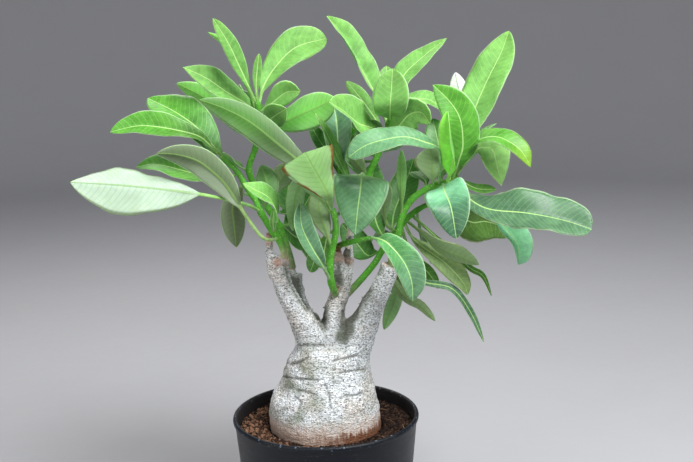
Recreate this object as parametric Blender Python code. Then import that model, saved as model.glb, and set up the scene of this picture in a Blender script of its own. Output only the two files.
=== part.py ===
"""A potted pachypodium: a swollen, branching trunk with leafy green stems, in a plain round plastic pot.

Metres, +Z up. The origin is on the pot's underside, at its axis, and -Y is the side that faces the viewer.
"""

import math

import bmesh
import bpy
from mathutils import Matrix, Vector, noise

MM = 0.001
CLEAR = 0.35 * MM

# Pot, turned about the Z axis
RIM_RADIUS = 75 * MM
POT_HEIGHT = 130 * MM
FOOT_RADIUS = 62 * MM
WALL = 2.2 * MM
FLOOR = 2.6 * MM
LIP_HEIGHT = 4.2 * MM
LIP_OUT = 1.1 * MM
POT_SIDES = 40
DRAIN_HOLES = 8
DRAIN_RADIUS = 4.5 * MM
DRAIN_CIRCLE = 38 * MM

# Soil
SOIL_TOP = 119.5 * MM
SOIL_BUMP = 1.3 * MM
SOIL_RINGS = 4
SOIL_GAP = 0.4 * MM

# Trunk
BARK_VOXEL = 2.2 * MM
BARK_TRIANGLES = 2000
ROOT_CLEAR = 0.6 * MM

# Leaves
BLADE = 0.8 * MM
STALK_WIDTH = 2.4 * MM
STALK_THICK = 1.9 * MM
EDGE_WAVE = 0.06
STATION_LENGTH = 19 * MM
LEAF_SPREAD = 1.5  # times the depth drawn for each point of a leaf

# The plant is laid out on a front elevation, seen from VIEW_EYE. Each point is (across, up, depth) in
# millimetres: across and up on a sheet VIEW_SHEET away, from its centre, and depth behind the pot's axis.
VIEW_EYE = Vector((20, -770, 422)) * MM
VIEW_PITCH = math.radians(10.56)
VIEW_ROLL = math.radians(-1.32)
VIEW_SHEET = 800 * MM

COLOURS = {
    "pot_plastic": ((0.018, 0.018, 0.019), 0.55, 0.0),
    "soil_granules": ((0.085, 0.045, 0.03), 0.95, 0.0),
    "bark": ((0.42, 0.42, 0.38), 0.8, 0.0),
    "leaf": ((0.10, 0.24, 0.045), 0.5, 0.0),
}

# Swollen base of the trunk: centre's x, height and radius of each ring, in millimetres
BASE_RINGS = [
    (0, 82, 18), (0, 86, 32), (0, 95, 41), (0, 108, 44.5), (-0.4, 120, 45), (-1.4, 132, 44.6),
    (-1.2, 141, 43.2), (-0.4, 148, 41.2), (1, 154, 38.6), (1.5, 160, 36.2), (2, 168, 34.2),
    (3.5, 179, 31), (6, 188, 27),
]

# Branches and cut stubs: (across, up, depth, radius)
BRANCHES = {
    "front left": [
        (-24, -97, -2, 16), (-30, -82, -6, 12), (-38, -68, -11, 9.2), (-45, -56, -15, 8),
        (-50, -45, -17, 7.4), (-53, -35, -19, 7.2), (-54, -27, -20, 6.2),
    ],
    "front left collar": [(-53, -35, -19, 6.2), (-51, -27, -21, 5.4), (-50, -20, -22, 4.6)],
    "front left twig": [
        (-57, -38, -20, 4.6), (-61, -24, -21, 3.2), (-62, -12, -22, 2.7), (-62, -1, -22, 2.5),
    ],
    "front left stub": [(-56, -30, -21, 4), (-58, -18, -22, 2.4)],
    "rear left": [
        (-20, -97, 6, 13), (-28, -80, 12, 8.6), (-37, -64, 17, 6.4), (-43, -50, 20, 5.8),
        (-45, -38, 21, 5.6), (-45, -28, 20, 5),
    ],
    "rear left knob": [
        (-27, -76, 6, 8), (-33, -63, 10, 5.4), (-37, -52, 12, 4.6), (-38.5, -42, 13, 4.3),
        (-38, -33, 13, 3.8),
    ],
    "middle": [
        (-10, -97, 1, 14), (-11, -80, 2, 10), (-9, -63, 4, 8.4), (-5, -48, 5, 8), (-2, -38, 6, 6.6),
        (0, -29, 7, 5.6), (2, -20, 8, 5),
    ],
    "middle stub": [(-4, -43, 3, 6.4), (-6, -32, -1, 5.8), (-8, -20, -4, 5.2), (-9, -13, -6, 4.4)],
    "right": [
        (-2, -101, 0, 20), (8, -84, -2, 15.4), (16, -70, -4, 11.8), (22, -58, -5, 9.6),
        (27, -47, -6, 8.4), (32, -36, -7, 7.8), (35, -27, -8, 7.4),
    ],
}


def leaf(at, route, width, face, fold=14, stalk=0.12, foot=1.1, tip=0.7):
    """One leaf. at is where it leaves its stem: 0 is the stem's foot and 1 its top.

    route leads its midrib from there to the tip, as points of the front elevation, and width is its widest.
    face turns the blade about its midrib: at 0 its upper side looks at the viewer, at 90 up.
    fold lifts both halves of the blade, in degrees, and stalk is the share of the length before the blade.
    foot and tip are how drawn out the blade is at its two ends: 0.4 blunt, 1.5 long and narrow.
    """
    return {"at": at, "route": route, "width": width, "face": face, "fold": fold, "stalk": stalk,
            "foot": foot, "tip": tip}


# Each stem: its route and the radii of its foot and top in millimetres, then its bare twigs and its leaves
STEMS = {
    "leafy_stem_left": {
        "route": [
            (-50, -28, -21), (-50, -17, -22), (-54, -7, -23), (-60, 1, -24), (-68, 14, -24), (-73, 25, -23),
            (-80, 35, -22), (-87, 47, -20), (-96, 56, -18), (-102, 62, -17),
        ],
        "radii": (2.9, 1.9),
        "leaves": [
            leaf(0.47, [(-83, 22, -28), (-121, 30, -38), (-173, 36, -48), (-221, 39, -52)], 41, 210, 25,
                 0.38, foot=1.0, tip=0.8),
            leaf(0.22, [(-66, -6, -30), (-77, 7, -34), (-87, 22, -36), (-97, 37, -37), (-108, 48, -39),
                        (-119, 56, -41), (-135, 61, -43), (-152, 62, -46)], 22, 178, 20, 0.42, foot=0.8,
                 tip=0.8),
            leaf(0.80, [(-100, 40, -12), (-127, 47, -10), (-152, 53, -8), (-168, 51, -6)], 27, 50),
            leaf(0.72, [(-85, 33, -8), (-91, 20, -4), (-90, 5, -2), (-88, -13, 0)], 20, 170, tip=0.8),
            leaf(0.95, [(-109, 68, -17), (-122, 77, -17), (-161, 84, -18), (-189, 79, -22)], 23, 35, 25),
            leaf(0.93, [(-107, 68, -12), (-119, 82, -8), (-137, 95, -2), (-159, 106, 8)], 34, 30, 14, 0.05,
                 foot=0.9, tip=0.75),
            leaf(0.28, [(-57, 14, -28), (-62, 26, -33), (-74, 33, -38), (-83, 38, -38)], 20, 60, 20, 0.25,
                 foot=0.7, tip=0.8),
            leaf(0.45, [(-63, 33, -18), (-68, 53, -12)], 18, 170),
            leaf(0.28, [(-59, 9, -27), (-58, 18, -28)], 5, 0),
            leaf(0.88, [(-108, 66, 20), (-117, 73, 62)], 25, 90),
            leaf(0.60, [(-92, 32, 15), (-104, 38, 55)], 25, 90),
        ],
    },
    "leafy_stem_top_left": {
        "route": [
            (-43, -30, 20), (-47, -15, 22), (-54, 4, 22), (-65, 22, 20), (-74, 37, 16), (-78, 50, 12),
            (-73, 66, 8), (-69, 81, 5), (-70, 95, 3), (-72, 105, 2),
        ],
        "radii": (3.0, 2.0),
        "leaves": [
            leaf(0.97, [(-77, 113, 0), (-85, 130, -4), (-95, 151, -8), (-107, 170, -12)], 14, 25),
            leaf(0.92, [(-84, 125, 12), (-98, 150, 18), (-111, 159, 20)], 7, 160),
            leaf(0.96, [(-66, 116, 4), (-56, 132, 8), (-40, 147, 12), (-16, 154, 14)], 30, 25, foot=1.0,
                 tip=0.5),
            leaf(0.99, [(-72, 121, -2), (-70, 142, -3)], 7, 0),
            leaf(0.93, [(-60, 102, -2), (-48, 111, -6), (-37, 112, -10)], 19, 15),
            leaf(0.85, [(-53, 86, -4), (-37, 93, -8), (-21, 100, -10), (-9, 106, -12)], 28, 195),
            leaf(0.75, [(-89, 85, 18), (-113, 106, 24), (-136, 118, 26)], 19, 150),
            leaf(0.88, [(-77, 99, 6), (-96, 111, 2), (-112, 122, -2), (-131, 131, -6)], 24, 35, tip=1.0),
            leaf(0.83, [(-60, 90, -7), (-48, 98, -19)], 20, 10),
            leaf(0.42, [(-57, 34, 16), (-49, 45, 12), (-37, 53, 8)], 20, 160),
            leaf(0.25, [(-45, 6, 26), (-36, 16, 32), (-27, 32, 36)], 24, 15),
            leaf(0.30, [(-42, -4, 30), (-31, -8, 36), (-21, -28, 38)], 22, 0),
            leaf(0.35, [(-46, 14, 28), (-47, 30, 34), (-45, 50, 36)], 20, 10),
            leaf(0.90, [(-73, 101, 35), (-85, 111, 78)], 25, 90),
            leaf(0.80, [(-53, 81, 30), (-37, 89, 72)], 25, 90),
            leaf(0.60, [(-89, 53, 38), (-105, 65, 76)], 24, 90),
        ],
    },
    "leafy_stem_front": {
        "route": [
            (-8, -52, 1), (-12, -42, -13), (-13, -31, -18), (-12, -17, -21), (-9, -4, -24), (-9, 9, -27),
            (-12, 19, -30),
        ],
        "radii": (2.9, 2.2),
        "leaves": [
            leaf(0.97, [(-14, 27, -34), (-20, 39, -37), (-27, 51, -39), (-33, 62, -38), (-32, 61, -33)], 41,
                 185, 8, 0.08, foot=2.0, tip=0.35),
            leaf(0.92, [(-20, 34, -26), (-33, 51, -23), (-53, 68, -23), (-77, 87, -27), (-98, 98, -30),
                        (-118, 105, -31)], 23, 190, 14, 0.2, tip=0.8),
            leaf(0.25, [(-20, -26, -22), (-28, -13, -26), (-36, 4, -28), (-37, 23, -26)], 19, 20, 30, 0.25),
            leaf(0.60, [(-17, 2, -18), (-22, 18, -16), (-20, 38, -14)], 17, 190),
            leaf(0.90, [(-23, 28, -22), (-35, 38, -18), (-41, 28, -18), (-43, 0, -20)], 14, 180),
            leaf(0.75, [(-15, -3, -14), (-20, -30, -10)], 15, 0),
            leaf(0.40, [(-22, -18, -8), (-29, -33, -4)], 13, 0),
        ],
    },
    "leafy_stem_centre": {
        "route": [
            (0, -30, 7), (1, -20, 7.5), (3, -2, 8), (4, 5, 8), (9, 22, 8), (17, 43, 6), (27, 65, 4),
            (32, 79, 2), (36, 92, 0),
        ],
        "radii": (2.9, 2.1),
        "twigs": [[(4, 5, 8), (-3, 20, 4), (-5, 42, 0), (-3, 65, -3), (6, 82, -4)]],
        "leaves": [
            leaf(0.93, [(27, 101, 4), (16, 121, 8), (7, 137, 10), (-4, 156, 13), (-16, 172, 16)], 28, 50,
                 40, tip=0.8),
            leaf(0.97, [(35, 99, -14), (36, 113, -15), (37, 130, -14)], 28, 5, 14, 0.03, foot=1.1,
                 tip=0.7),
            leaf(0.92, [(33, 105, 14), (32, 132, 24)], 18, 0),
            leaf(0.96, [(41, 106, 6), (46, 124, 10), (60, 138, 12), (80, 154, 14)], 21, 40, tip=0.9),
            leaf(0.85, [(20, 82, -6), (9, 86, -16), (-3, 96, -24), (-14, 103, -30)], 35, 50, 22, foot=0.9,
                 tip=0.7),
            leaf(0.88, [(15, 101, 18), (0, 120, 28)], 14, 30),
            leaf(0.95, [(49, 102, 8), (65, 105, 12), (80, 95, 14)], 19, 45),
            leaf(0.90, [(41, 83, -6), (50, 93, -11), (60, 95, -15), (67, 86, -18)], 26, 10, foot=0.8),
            leaf(0.87, [(23, 86, -2), (9, 88, -6)], 12, 100),
            leaf(0.57, [(13, 46, -10), (12, 42, -16), (11, 32, -20), (9, 17, -21), (7, -3, -20)], 43, 0, 10,
                 0.40, foot=0.15, tip=0.75),
            leaf(0.45, [(-6, 57, -4), (-7, 73, -4), (-8, 89, 0), (-11, 104, 7)], 26, 0, 30, 0.3, foot=1.2),
            leaf(0.43, [(-8, 60, -10), (-15, 76, -14), (-25, 94, -18)], 13, 55),
            leaf(0.40, [(-6, 52, 4), (-17, 65, 6), (-30, 86, 8)], 18, 40),
            leaf(0.60, [(9, 53, 12), (4, 61, 14)], 14, 160),
            leaf(0.55, [(8, 52, 16), (-2, 74, 24), (-13, 92, 28)], 24, 10),
            leaf(0.75, [(20, 62, 14), (15, 80, 22), (9, 98, 26)], 22, 10),
            leaf(0.88, [(31, 89, 38), (20, 103, 78)], 26, 90),
            leaf(0.82, [(39, 65, 38), (51, 73, 80)], 26, 90),
            leaf(0.70, [(7, 57, 35), (-9, 65, 76)], 25, 90),
            leaf(0.50, [(3, 21, 35), (-5, 13, 68)], 24, 90),
        ],
    },
    "leafy_stem_upper_right": {
        "route": [
            (36, -31, -8), (37, -19, -9), (41, -6, -11), (44, 11, -12), (52, 25, -12), (65, 34, -10),
            (77, 38, -8), (85, 40, -6), (88, 49, -4),
        ],
        "radii": (3.2, 2.1),
        "leaves": [
            leaf(0.95, [(94, 73, -2), (103, 98, 2), (113, 121, 6), (124, 143, 10), (130, 160, 12)], 32, 20,
                 foot=1.0),
            leaf(0.93, [(90, 82, 22), (92, 100, 28), (87, 127, 34)], 21, 180),
            leaf(0.90, [(90, 57, -11), (93, 69, -13), (91, 89, -14), (83, 103, -14), (69, 117, -13)], 29,
                 20, tip=0.9),
            leaf(0.86, [(86, 58, -17), (84, 74, -24), (82, 88, -27), (81, 96, -28)], 22, -45, 45, foot=0.8),
            leaf(0.95, [(95, 62, -8), (107, 73, -14), (120, 75, -18), (132, 70, -21), (141, 62, -23),
                        (147, 51, -24)], 21, 55, tip=0.8),
            leaf(0.97, [(103, 73, 12), (120, 86, 18)], 16, 60),
            leaf(0.93, [(100, 62, -4), (110, 67, -6), (117, 65, -8), (120, 54, -10), (124, 36, -12)], 25,
                 10, 14, 0.4, foot=0.5, tip=1.0),
            leaf(0.95, [(103, 34, -8), (120, 33, -10)], 11, 40),
            leaf(0.90, [(99, 25, -12), (115, 17, -18), (145, 14, -24), (175, 8, -28), (196, 1, -32)], 39,
                 38, 18, foot=0.7, tip=0.42),
            leaf(0.85, [(100, 23, -2), (115, 15, -2), (129, -1, -4), (136, -11, -6), (138, -27, -6)], 27, 38,
                 38, foot=1.4, tip=0.45),
            leaf(0.83, [(79, 31, -20), (84, 18, -30), (88, -6, -36)], 34, 0, foot=0.4, tip=0.68),
            leaf(0.80, [(75, 54, -16), (73, 66, -20), (62, 71, -25), (47, 75, -29), (31, 73, -32),
                        (15, 68, -34), (2, 59, -34)], 23, 42, 10, 0.3, foot=0.9, tip=0.45),
            leaf(0.42, [(44, 33, -14), (44, 49, -14), (44, 65, -16)], 8, 180),
            leaf(0.75, [(69, 49, -8), (67, 67, 0)], 27, 190),
            leaf(0.70, [(62, 41, -2), (51, 47, 6)], 14, 60),
            leaf(0.78, [(76, 52, 6), (73, 72, 13), (69, 90, 18)], 23, 10),
            leaf(0.88, [(84, 50, -6), (81, 57, -4)], 4, 0),
            leaf(0.90, [(95, 53, 33), (107, 65, 73)], 28, 90),
            leaf(0.82, [(75, 57, 35), (63, 69, 80)], 27, 90),
            leaf(0.85, [(107, 21, 30), (127, 13, 62)], 26, 90),
        ],
    },
    "leafy_stem_lower_right": {
        "route": [
            (-3, -54, 6), (5, -46, 12), (15, -35, 12), (23, -25, 10), (29, -15, 9), (35, -7, 8), (43, 4, 8),
            (54, 15, 8), (67, 22, 8), (79, 25, 8),
        ],
        "radii": (2.9, 1.9),
        "leaves": [
            leaf(0.60, [(32, 5, 2), (30, 21, -2), (31, 41, -6)], 13, 180, 14, 0.3),
            leaf(0.98, [(98, 8, 10), (111, 8, 12), (123, 4, 12), (132, -4, 12)], 32, -25, foot=0.7, tip=0.6),
            leaf(0.90, [(87, 7, 10), (100, -8, 12)], 12, 20),
            leaf(0.70, [(57, 1, 0), (75, -14, -4), (92, -21, -8), (106, -27, -10)], 19, 130),
            leaf(0.68, [(55, -8, 4), (79, -26, 0), (93, -41, -2), (97, -51, -2)], 18, 20),
            leaf(0.75, [(83, -15, 10), (99, -30, 10), (109, -36, 10), (116, -52, 10)], 6, 30),
            leaf(0.60, [(47, -25, 2), (60, -40, -2), (84, -46, -4), (99, -65, -4), (110, -89, -4)], 7, 20),
            leaf(0.55, [(36, -35, 12), (47, -53, 10), (59, -60, 8), (71, -72, 6)], 10, 150, 14, 0.3),
            leaf(0.58, [(41, -25, 16), (40, -50, 18), (30, -79, 18)], 13, 180, 14, 0.3),
            leaf(0.65, [(52, -20, 10), (65, -33, 8), (74, -46, 8)], 11, 0, 14, 0.3),
            leaf(0.55, [(38, 14, 22), (46, 35, 32), (54, 58, 38)], 25, 15),
            leaf(0.50, [(24, 6, 24), (20, 30, 30), (22, 56, 34)], 24, 10),
            leaf(0.45, [(18, -20, 20), (10, -12, 26), (-4, 6, 30)], 22, 10),
            leaf(0.80, [(59, -5, 38), (67, -25, 66)], 24, 90),
            leaf(0.60, [(23, -5, 35), (15, -13, 70)], 24, 90),
            leaf(0.95, [(88, 20, 40), (98, 10, 74)], 24, 90),
        ],
    },
    "front_hanging_leaf": {
        "route": [(-8, -19, -5), (-6, -12, -9), (3, -9, -14), (12, -7, -18), (21, -5, -21)],
        "radii": (2.0, 1.6),
        "leaves": [
            leaf(0.97, [(30, -8, -24), (38, -15, -26), (47, -27, -28), (52, -41, -30), (53, -56, -30)], 27,
                 20, 32, foot=0.9, tip=0.8),
        ],
    },
}


def material(name):
    colour, roughness, metallic = COLOURS[name]
    made = bpy.data.materials.new(name)
    made.use_nodes = True
    shader = made.node_tree.nodes["Principled BSDF"]
    shader.inputs["Base Color"].default_value = (*colour, 1)
    shader.inputs["Roughness"].default_value = roughness
    shader.inputs["Metallic"].default_value = metallic
    return made


def place(across, up, depth):
    """The point that the front elevation shows at (across, up), this far behind the pot's axis."""
    ahead = Vector((0, math.cos(VIEW_PITCH), -math.sin(VIEW_PITCH)))
    level = Vector((1, 0, 0))
    rise = level.cross(ahead)
    right = math.cos(VIEW_ROLL) * level + math.sin(VIEW_ROLL) * rise
    top = math.cos(VIEW_ROLL) * rise - math.sin(VIEW_ROLL) * level
    ray = ahead * VIEW_SHEET + right * (across * MM) + top * (up * MM)
    return VIEW_EYE + ray * ((depth * MM - VIEW_EYE.y) / ray.y)


def smooth_route(points, shares):
    """Points at these shares of the length of a smooth curve through the given points."""
    ends = [points[0] * 2 - points[1], *points, points[-1] * 2 - points[-2]]
    fine = [points[0]]
    for a, b, c, d in zip(ends, ends[1:], ends[2:], ends[3:]):
        for step in range(1, 9):
            t = step / 8
            fine.append(0.5 * (2 * b + (c - a) * t + (2 * a - 5 * b + 4 * c - d) * t**2
                               + (3 * b - 3 * c + d - a) * t**3))
    lengths = [0.0]
    for before, after in zip(fine, fine[1:]):
        lengths.append(lengths[-1] + (after - before).length)
    found = []
    for share in shares:
        goal = share * lengths[-1]
        i = max(1, next((k for k, length in enumerate(lengths) if length >= goal), len(lengths) - 1))
        t = (goal - lengths[i - 1]) / (lengths[i] - lengths[i - 1])
        found.append(fine[i - 1].lerp(fine[i], t))
    return found


def length_of(points):
    return sum((b - a).length for a, b in zip(points, points[1:]))


def tangents_of(points):
    ends = [points[0], *points, points[-1]]
    return [(after - before).normalized() for before, after in zip(ends, ends[2:])]


def carried(normal, tangents, start):
    """The normal at each tangent, carried along the curve without twist from the one at start."""
    normals = [None] * len(tangents)
    normals[start] = normal
    for i in range(start + 1, len(tangents)):
        normals[i] = tangents[i - 1].rotation_difference(tangents[i]) @ normals[i - 1]
    for i in range(start - 1, -1, -1):
        normals[i] = tangents[i + 1].rotation_difference(tangents[i]) @ normals[i + 1]
    return normals


def loft(mesh, loops, back=()):
    """Adds a closed body through loops of equal length to the bmesh, capped at both ends.

    back holds the sides whose quads are split along their other diagonal.
    """
    rows = [[mesh.verts.new(point) for point in loop] for loop in loops]
    faces = [mesh.faces.new(rows[0][::-1]), mesh.faces.new(rows[-1])]
    for low, high in zip(rows, rows[1:]):
        for k in range(len(low)):
            m = (k + 1) % len(low)
            if k in back:
                corners = (low[k], low[m], high[k]), (low[m], high[m], high[k])
            else:
                corners = (low[k], low[m], high[m]), (low[k], high[m], high[k])
            faces += [mesh.faces.new(three) for three in corners]
    bmesh.ops.recalc_face_normals(mesh, faces=faces)


def tube(mesh, points, radii, sides=7):
    """Adds a round tube through the points to the bmesh."""
    tangents = tangents_of(points)
    across = carried(tangents[0].orthogonal().normalized(), tangents, 0)
    loops = []
    for point, tangent, side, radius in zip(points, tangents, across, radii):
        other = tangent.cross(side)
        turns = [math.tau * k / sides for k in range(sides)]
        loops.append([point + radius * (math.cos(a) * side + math.sin(a) * other) for a in turns])
    loft(mesh, loops)


def new_object(name, mesh, slot, collection=None):
    """An object from a bmesh, which is freed."""
    data = bpy.data.meshes.new(name)
    mesh.to_mesh(data)
    mesh.free()
    data.materials.append(MATERIALS[slot])
    made = bpy.data.objects.new(name, data)
    (collection or bpy.context.scene.collection).objects.link(made)
    return made


def applied(target):
    """Replaces the object's mesh by its evaluated mesh, with no modifiers left."""
    bpy.context.view_layer.update()
    graph = bpy.context.evaluated_depsgraph_get()
    result = bpy.data.meshes.new_from_object(target.evaluated_get(graph))
    target.modifiers.clear()
    target.data = result
    return target


def boolean(target, collection, operation):
    """Applies one Boolean with every object of the collection, then removes them."""
    cut = target.modifiers.new(operation.title(), "BOOLEAN")
    cut.operation = operation
    cut.operand_type = "COLLECTION"
    cut.collection = collection
    applied(target)
    for helper in list(collection.objects):
        bpy.data.objects.remove(helper)
    bpy.data.collections.remove(collection)
    return target


def helpers(name):
    made = bpy.data.collections.new(name)
    bpy.context.scene.collection.children.link(made)
    return made


def shade(target, angle=40):
    target.data.shade_smooth()
    target.data.set_sharp_from_angle(angle=math.radians(angle))


def turned(name, profile, slot, sides=POT_SIDES, bump=None):
    """A body turned about Z from a closed profile of (radius, height) points. A radius of 0 is a pole."""
    mesh = bmesh.new()
    rows = []
    for radius, height in profile:
        if radius == 0:
            rows.append([mesh.verts.new((0, 0, height))] * sides)
            continue
        turns = [Matrix.Rotation(math.tau * k / sides, 3, "Z") for k in range(sides)]
        points = [turn @ Vector((radius, 0, height)) for turn in turns]
        rows.append([mesh.verts.new(bump(point) if bump else point) for point in points])
    for low, high in zip(rows, rows[1:] + rows[:1]):
        for k in range(sides):
            m = (k + 1) % sides
            corners = list(dict.fromkeys((low[k], low[m], high[m], high[k])))
            if len(corners) > 2:
                mesh.faces.new(corners)
    bmesh.ops.recalc_face_normals(mesh, faces=mesh.faces)
    return new_object(name, mesh, slot)


def wall_radius(height):
    """The pot's outer radius below its lip."""
    return FOOT_RADIUS + (RIM_RADIUS - LIP_OUT - FOOT_RADIUS) * height / POT_HEIGHT


def inner_wall(top):
    """The pot's inner profile from this height down to its floor."""
    return [(wall_radius(top) - WALL, top), (FOOT_RADIUS - WALL + 0.4 * MM, FLOOR), (0, FLOOR)]


def build_pot():
    lip = POT_HEIGHT - LIP_HEIGHT
    outer = [
        (0, 0), (FOOT_RADIUS - 1.5 * MM, 0), (FOOT_RADIUS, 1.5 * MM), (wall_radius(lip), lip),
        (RIM_RADIUS - 0.3 * MM, lip + 0.5 * MM), (RIM_RADIUS, lip + 1.8 * MM),
        (RIM_RADIUS - 0.5 * MM, POT_HEIGHT - 0.8 * MM), (RIM_RADIUS - 1.9 * MM, POT_HEIGHT),
        (RIM_RADIUS - 3.4 * MM, POT_HEIGHT - 0.9 * MM),
    ]
    pot = turned("pot", outer + inner_wall(lip), "pot_plastic")
    drains = helpers("drains")
    for k in range(DRAIN_HOLES):
        mesh = bmesh.new()
        turn = Matrix.Rotation(math.tau * (k + 0.5) / DRAIN_HOLES, 3, "Z")
        middle = turn @ Vector((DRAIN_CIRCLE, 0, FLOOR / 2))
        bmesh.ops.create_cone(mesh, cap_ends=True, segments=12, radius1=DRAIN_RADIUS, radius2=DRAIN_RADIUS,
                              depth=3 * FLOOR, matrix=Matrix.Translation(middle))
        new_object("drain", mesh, "pot_plastic", drains)
    boolean(pot, drains, "DIFFERENCE")
    shade(pot)


def granular(point):
    """Lifts and shifts a point of the soil's top by uneven granules."""
    if point.z < SOIL_TOP - 4 * MM:
        return point
    rough = noise.noise(point / (4 * MM)) * 0.6 + noise.noise(point / (11 * MM)) * 0.7
    return point + Vector((0, 0, SOIL_BUMP * rough))


def build_soil():
    """Fills the pot, with a plain round hole that the trunk's root stands in."""
    outer = [(max(0, radius - SOIL_GAP), height + SOIL_GAP) for radius, height in inner_wall(SOIL_TOP)]
    rim = outer[0][0]
    hole = [(radius * MM + ROOT_CLEAR, height * MM) for _, height, radius in BASE_RINGS if height < 119]
    top = [(hole[-1][0] + 0.8 * MM, SOIL_TOP)]
    top += [(top[0][0] + (rim - top[0][0]) * k / SOIL_RINGS, SOIL_TOP) for k in range(1, SOIL_RINGS + 1)]
    profile = [(0, hole[0][1] - ROOT_CLEAR), (hole[0][0], hole[0][1] - ROOT_CLEAR), *hole[1:], *top]
    shade(turned("soil", profile + outer[1:], "soil_granules", bump=granular), 60)


def bark_relief(point, normal):
    """Low lumps and creases of the bark, fading out in the soil."""
    fade = min(1, max(0, (point.z - SOIL_TOP) / (12 * MM)))
    lumps = noise.noise(point / (16 * MM)) * 1.0 * MM
    creases = noise.noise(Vector((point.x, point.y, point.z * 3.2)) / (22 * MM)) * 0.8 * MM
    return point + normal * (lumps + creases) * fade


def build_trunk(sockets):
    mesh = bmesh.new()
    points = [Vector((x, 0, z)) * MM for x, z, _ in BASE_RINGS]
    turns = [math.tau * k / 32 for k in range(32)]
    loft(mesh, [[p + Vector((math.cos(a), math.sin(a), 0)) * radius * MM for a in turns]
                for p, (_, _, radius) in zip(points, BASE_RINGS)])
    for rows in BRANCHES.values():
        shares = [k / (3 * len(rows)) for k in range(3 * len(rows) + 1)]
        points = smooth_route([place(*row[:3]) for row in rows], shares)
        radii = smooth_route([Vector((place(*row[:3]).z, row[3] * MM, 0)) for row in rows], shares)
        tube(mesh, points, [r.y for r in radii], 12)
    trunk = new_object("trunk", mesh, "bark")
    skin = trunk.modifiers.new("Skin", "REMESH")
    skin.mode = "VOXEL"
    skin.voxel_size = BARK_VOXEL
    soften = trunk.modifiers.new("Soften", "SMOOTH")
    soften.factor = 0.5
    soften.iterations = 5
    applied(trunk)
    normals = [v.normal.copy() for v in trunk.data.vertices]
    for vertex, normal in zip(trunk.data.vertices, normals):
        vertex.co = bark_relief(vertex.co, normal)
    trunk.data.calc_loop_triangles()
    fewer = trunk.modifiers.new("Fewer", "DECIMATE")
    fewer.ratio = BARK_TRIANGLES / len(trunk.data.loop_triangles)
    applied(trunk)
    boolean(trunk, sockets, "DIFFERENCE")
    shade(trunk, 60)


def blade_outline(along, foot, tip):
    """Half width of a blade along its length, as a share of its widest.

    A larger foot or tip draws that end out more.
    """
    if not 0 < along < 1:
        return 0.0
    peak = foot / (foot + tip)
    return (along / peak) ** foot * ((1 - along) / (1 - peak)) ** tip


def leaf_body(mesh, start, shape):
    """Adds one leaf to the bmesh: a stalk sunk into the stem, then a folded blade with wavy edges."""
    route = [start] + [place(across, up, depth * LEAF_SPREAD) for across, up, depth in shape["route"]]
    stalk, width = shape["stalk"], shape["width"] * MM
    steps = max(4, round(length_of(route) * (1 - stalk) / STATION_LENGTH))
    shares = [0] + [stalk + (1 - stalk) * k / steps for k in range(steps + 1)]
    points = smooth_route(route, shares)
    tangents = tangents_of(points)
    middle = len(points) // 2
    to_eye = VIEW_EYE - points[middle]
    front = (to_eye - to_eye.project(tangents[middle])).normalized()
    above = tangents[middle].cross(front)
    above = -above if above.z < 0 else above
    turn = math.radians(shape["face"])
    normals = carried(math.cos(turn) * front + math.sin(turn) * above, tangents, middle)
    fold = math.radians(shape["fold"])
    loops = []
    for k, (point, tangent, normal) in enumerate(zip(points, tangents, normals)):
        along = max(0, (shares[k] - stalk) / (1 - stalk))
        full = blade_outline(along, shape["foot"], shape["tip"])
        half = max(width / 2 * full, STALK_WIDTH / 2 if along == 0 else 0.5 * MM)
        thick = max(BLADE, STALK_THICK * (1 - 2.5 * along))
        side = tangent.cross(normal)
        spread = half * math.cos(fold)
        lift = half * math.sin(fold)
        wave = EDGE_WAVE * width * full * math.sin(2.4 * k + shape["face"])
        left = point - side * spread + normal * (lift + wave)
        right = point + side * spread + normal * (lift - wave)
        up = normal * (thick / 2)
        loops.append([left - up, point - up, right - up, right + up, point + up, left + up])
    # Both sides of the thin blade are split along the same diagonals, so a twist keeps them apart.
    loft(mesh, loops, back=(1, 4))


def stem_points(stem, spacing=11 * MM):
    route = [place(*point) for point in stem["route"]]
    steps = round(length_of(route) / spacing)
    shares = [k / steps for k in range(steps + 1)]
    foot, top = (radius * MM for radius in stem["radii"])
    return smooth_route(route, shares), [foot + (top - foot) * share for share in shares]


def build_stem(name, stem, sockets):
    """One stem with its twigs and leaves as one body, and the clearance that it needs in the trunk."""
    mesh = bmesh.new()
    points, radii = stem_points(stem)
    tube(mesh, points, radii)
    made = new_object(name, mesh, "leaf")
    parts = helpers(name + " parts")
    for twig in stem.get("twigs", []):
        mesh = bmesh.new()
        path = smooth_route([place(*point) for point in twig], [k / 8 for k in range(9)])
        tube(mesh, path, [radii[-1]] * 9)
        new_object("twig", mesh, "leaf", parts)
    route = [place(*point) for point in stem["route"]]
    for shape in stem["leaves"]:
        mesh = bmesh.new()
        leaf_body(mesh, smooth_route(route, [shape["at"]])[0], shape)
        new_object("blade", mesh, "leaf", parts)
    boolean(made, parts, "UNION")
    shade(made, 50)
    mesh = bmesh.new()
    foot = points[0] * 2 - points[1].lerp(points[0], 1 - CLEAR / (points[1] - points[0]).length)
    tube(mesh, [foot, *points[1:]], [radius + CLEAR for radius in radii], 10)
    new_object("socket", mesh, "bark", sockets)


def main():
    for old in list(bpy.data.objects):
        bpy.data.objects.remove(old)
    for name in COLOURS:
        MATERIALS[name] = material(name)
    build_pot()
    build_soil()
    sockets = helpers("sockets")
    for name, stem in STEMS.items():
        build_stem(name, stem, sockets)
    build_trunk(sockets)


MATERIALS = {}
main()
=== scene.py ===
"""The looks of a potted pachypodium: a grey swollen trunk with green leafy stems, in a black plastic pot.

Metres, +Z up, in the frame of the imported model. -Y is the side that faces the camera. The plant follows the
same drawn tables as the model, with finer forms: leaves and stems swept along their midribs, bark with its
creases and stubs, loose granules and straw on the soil, and the pot with its rolled lip.
"""

import math

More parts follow.
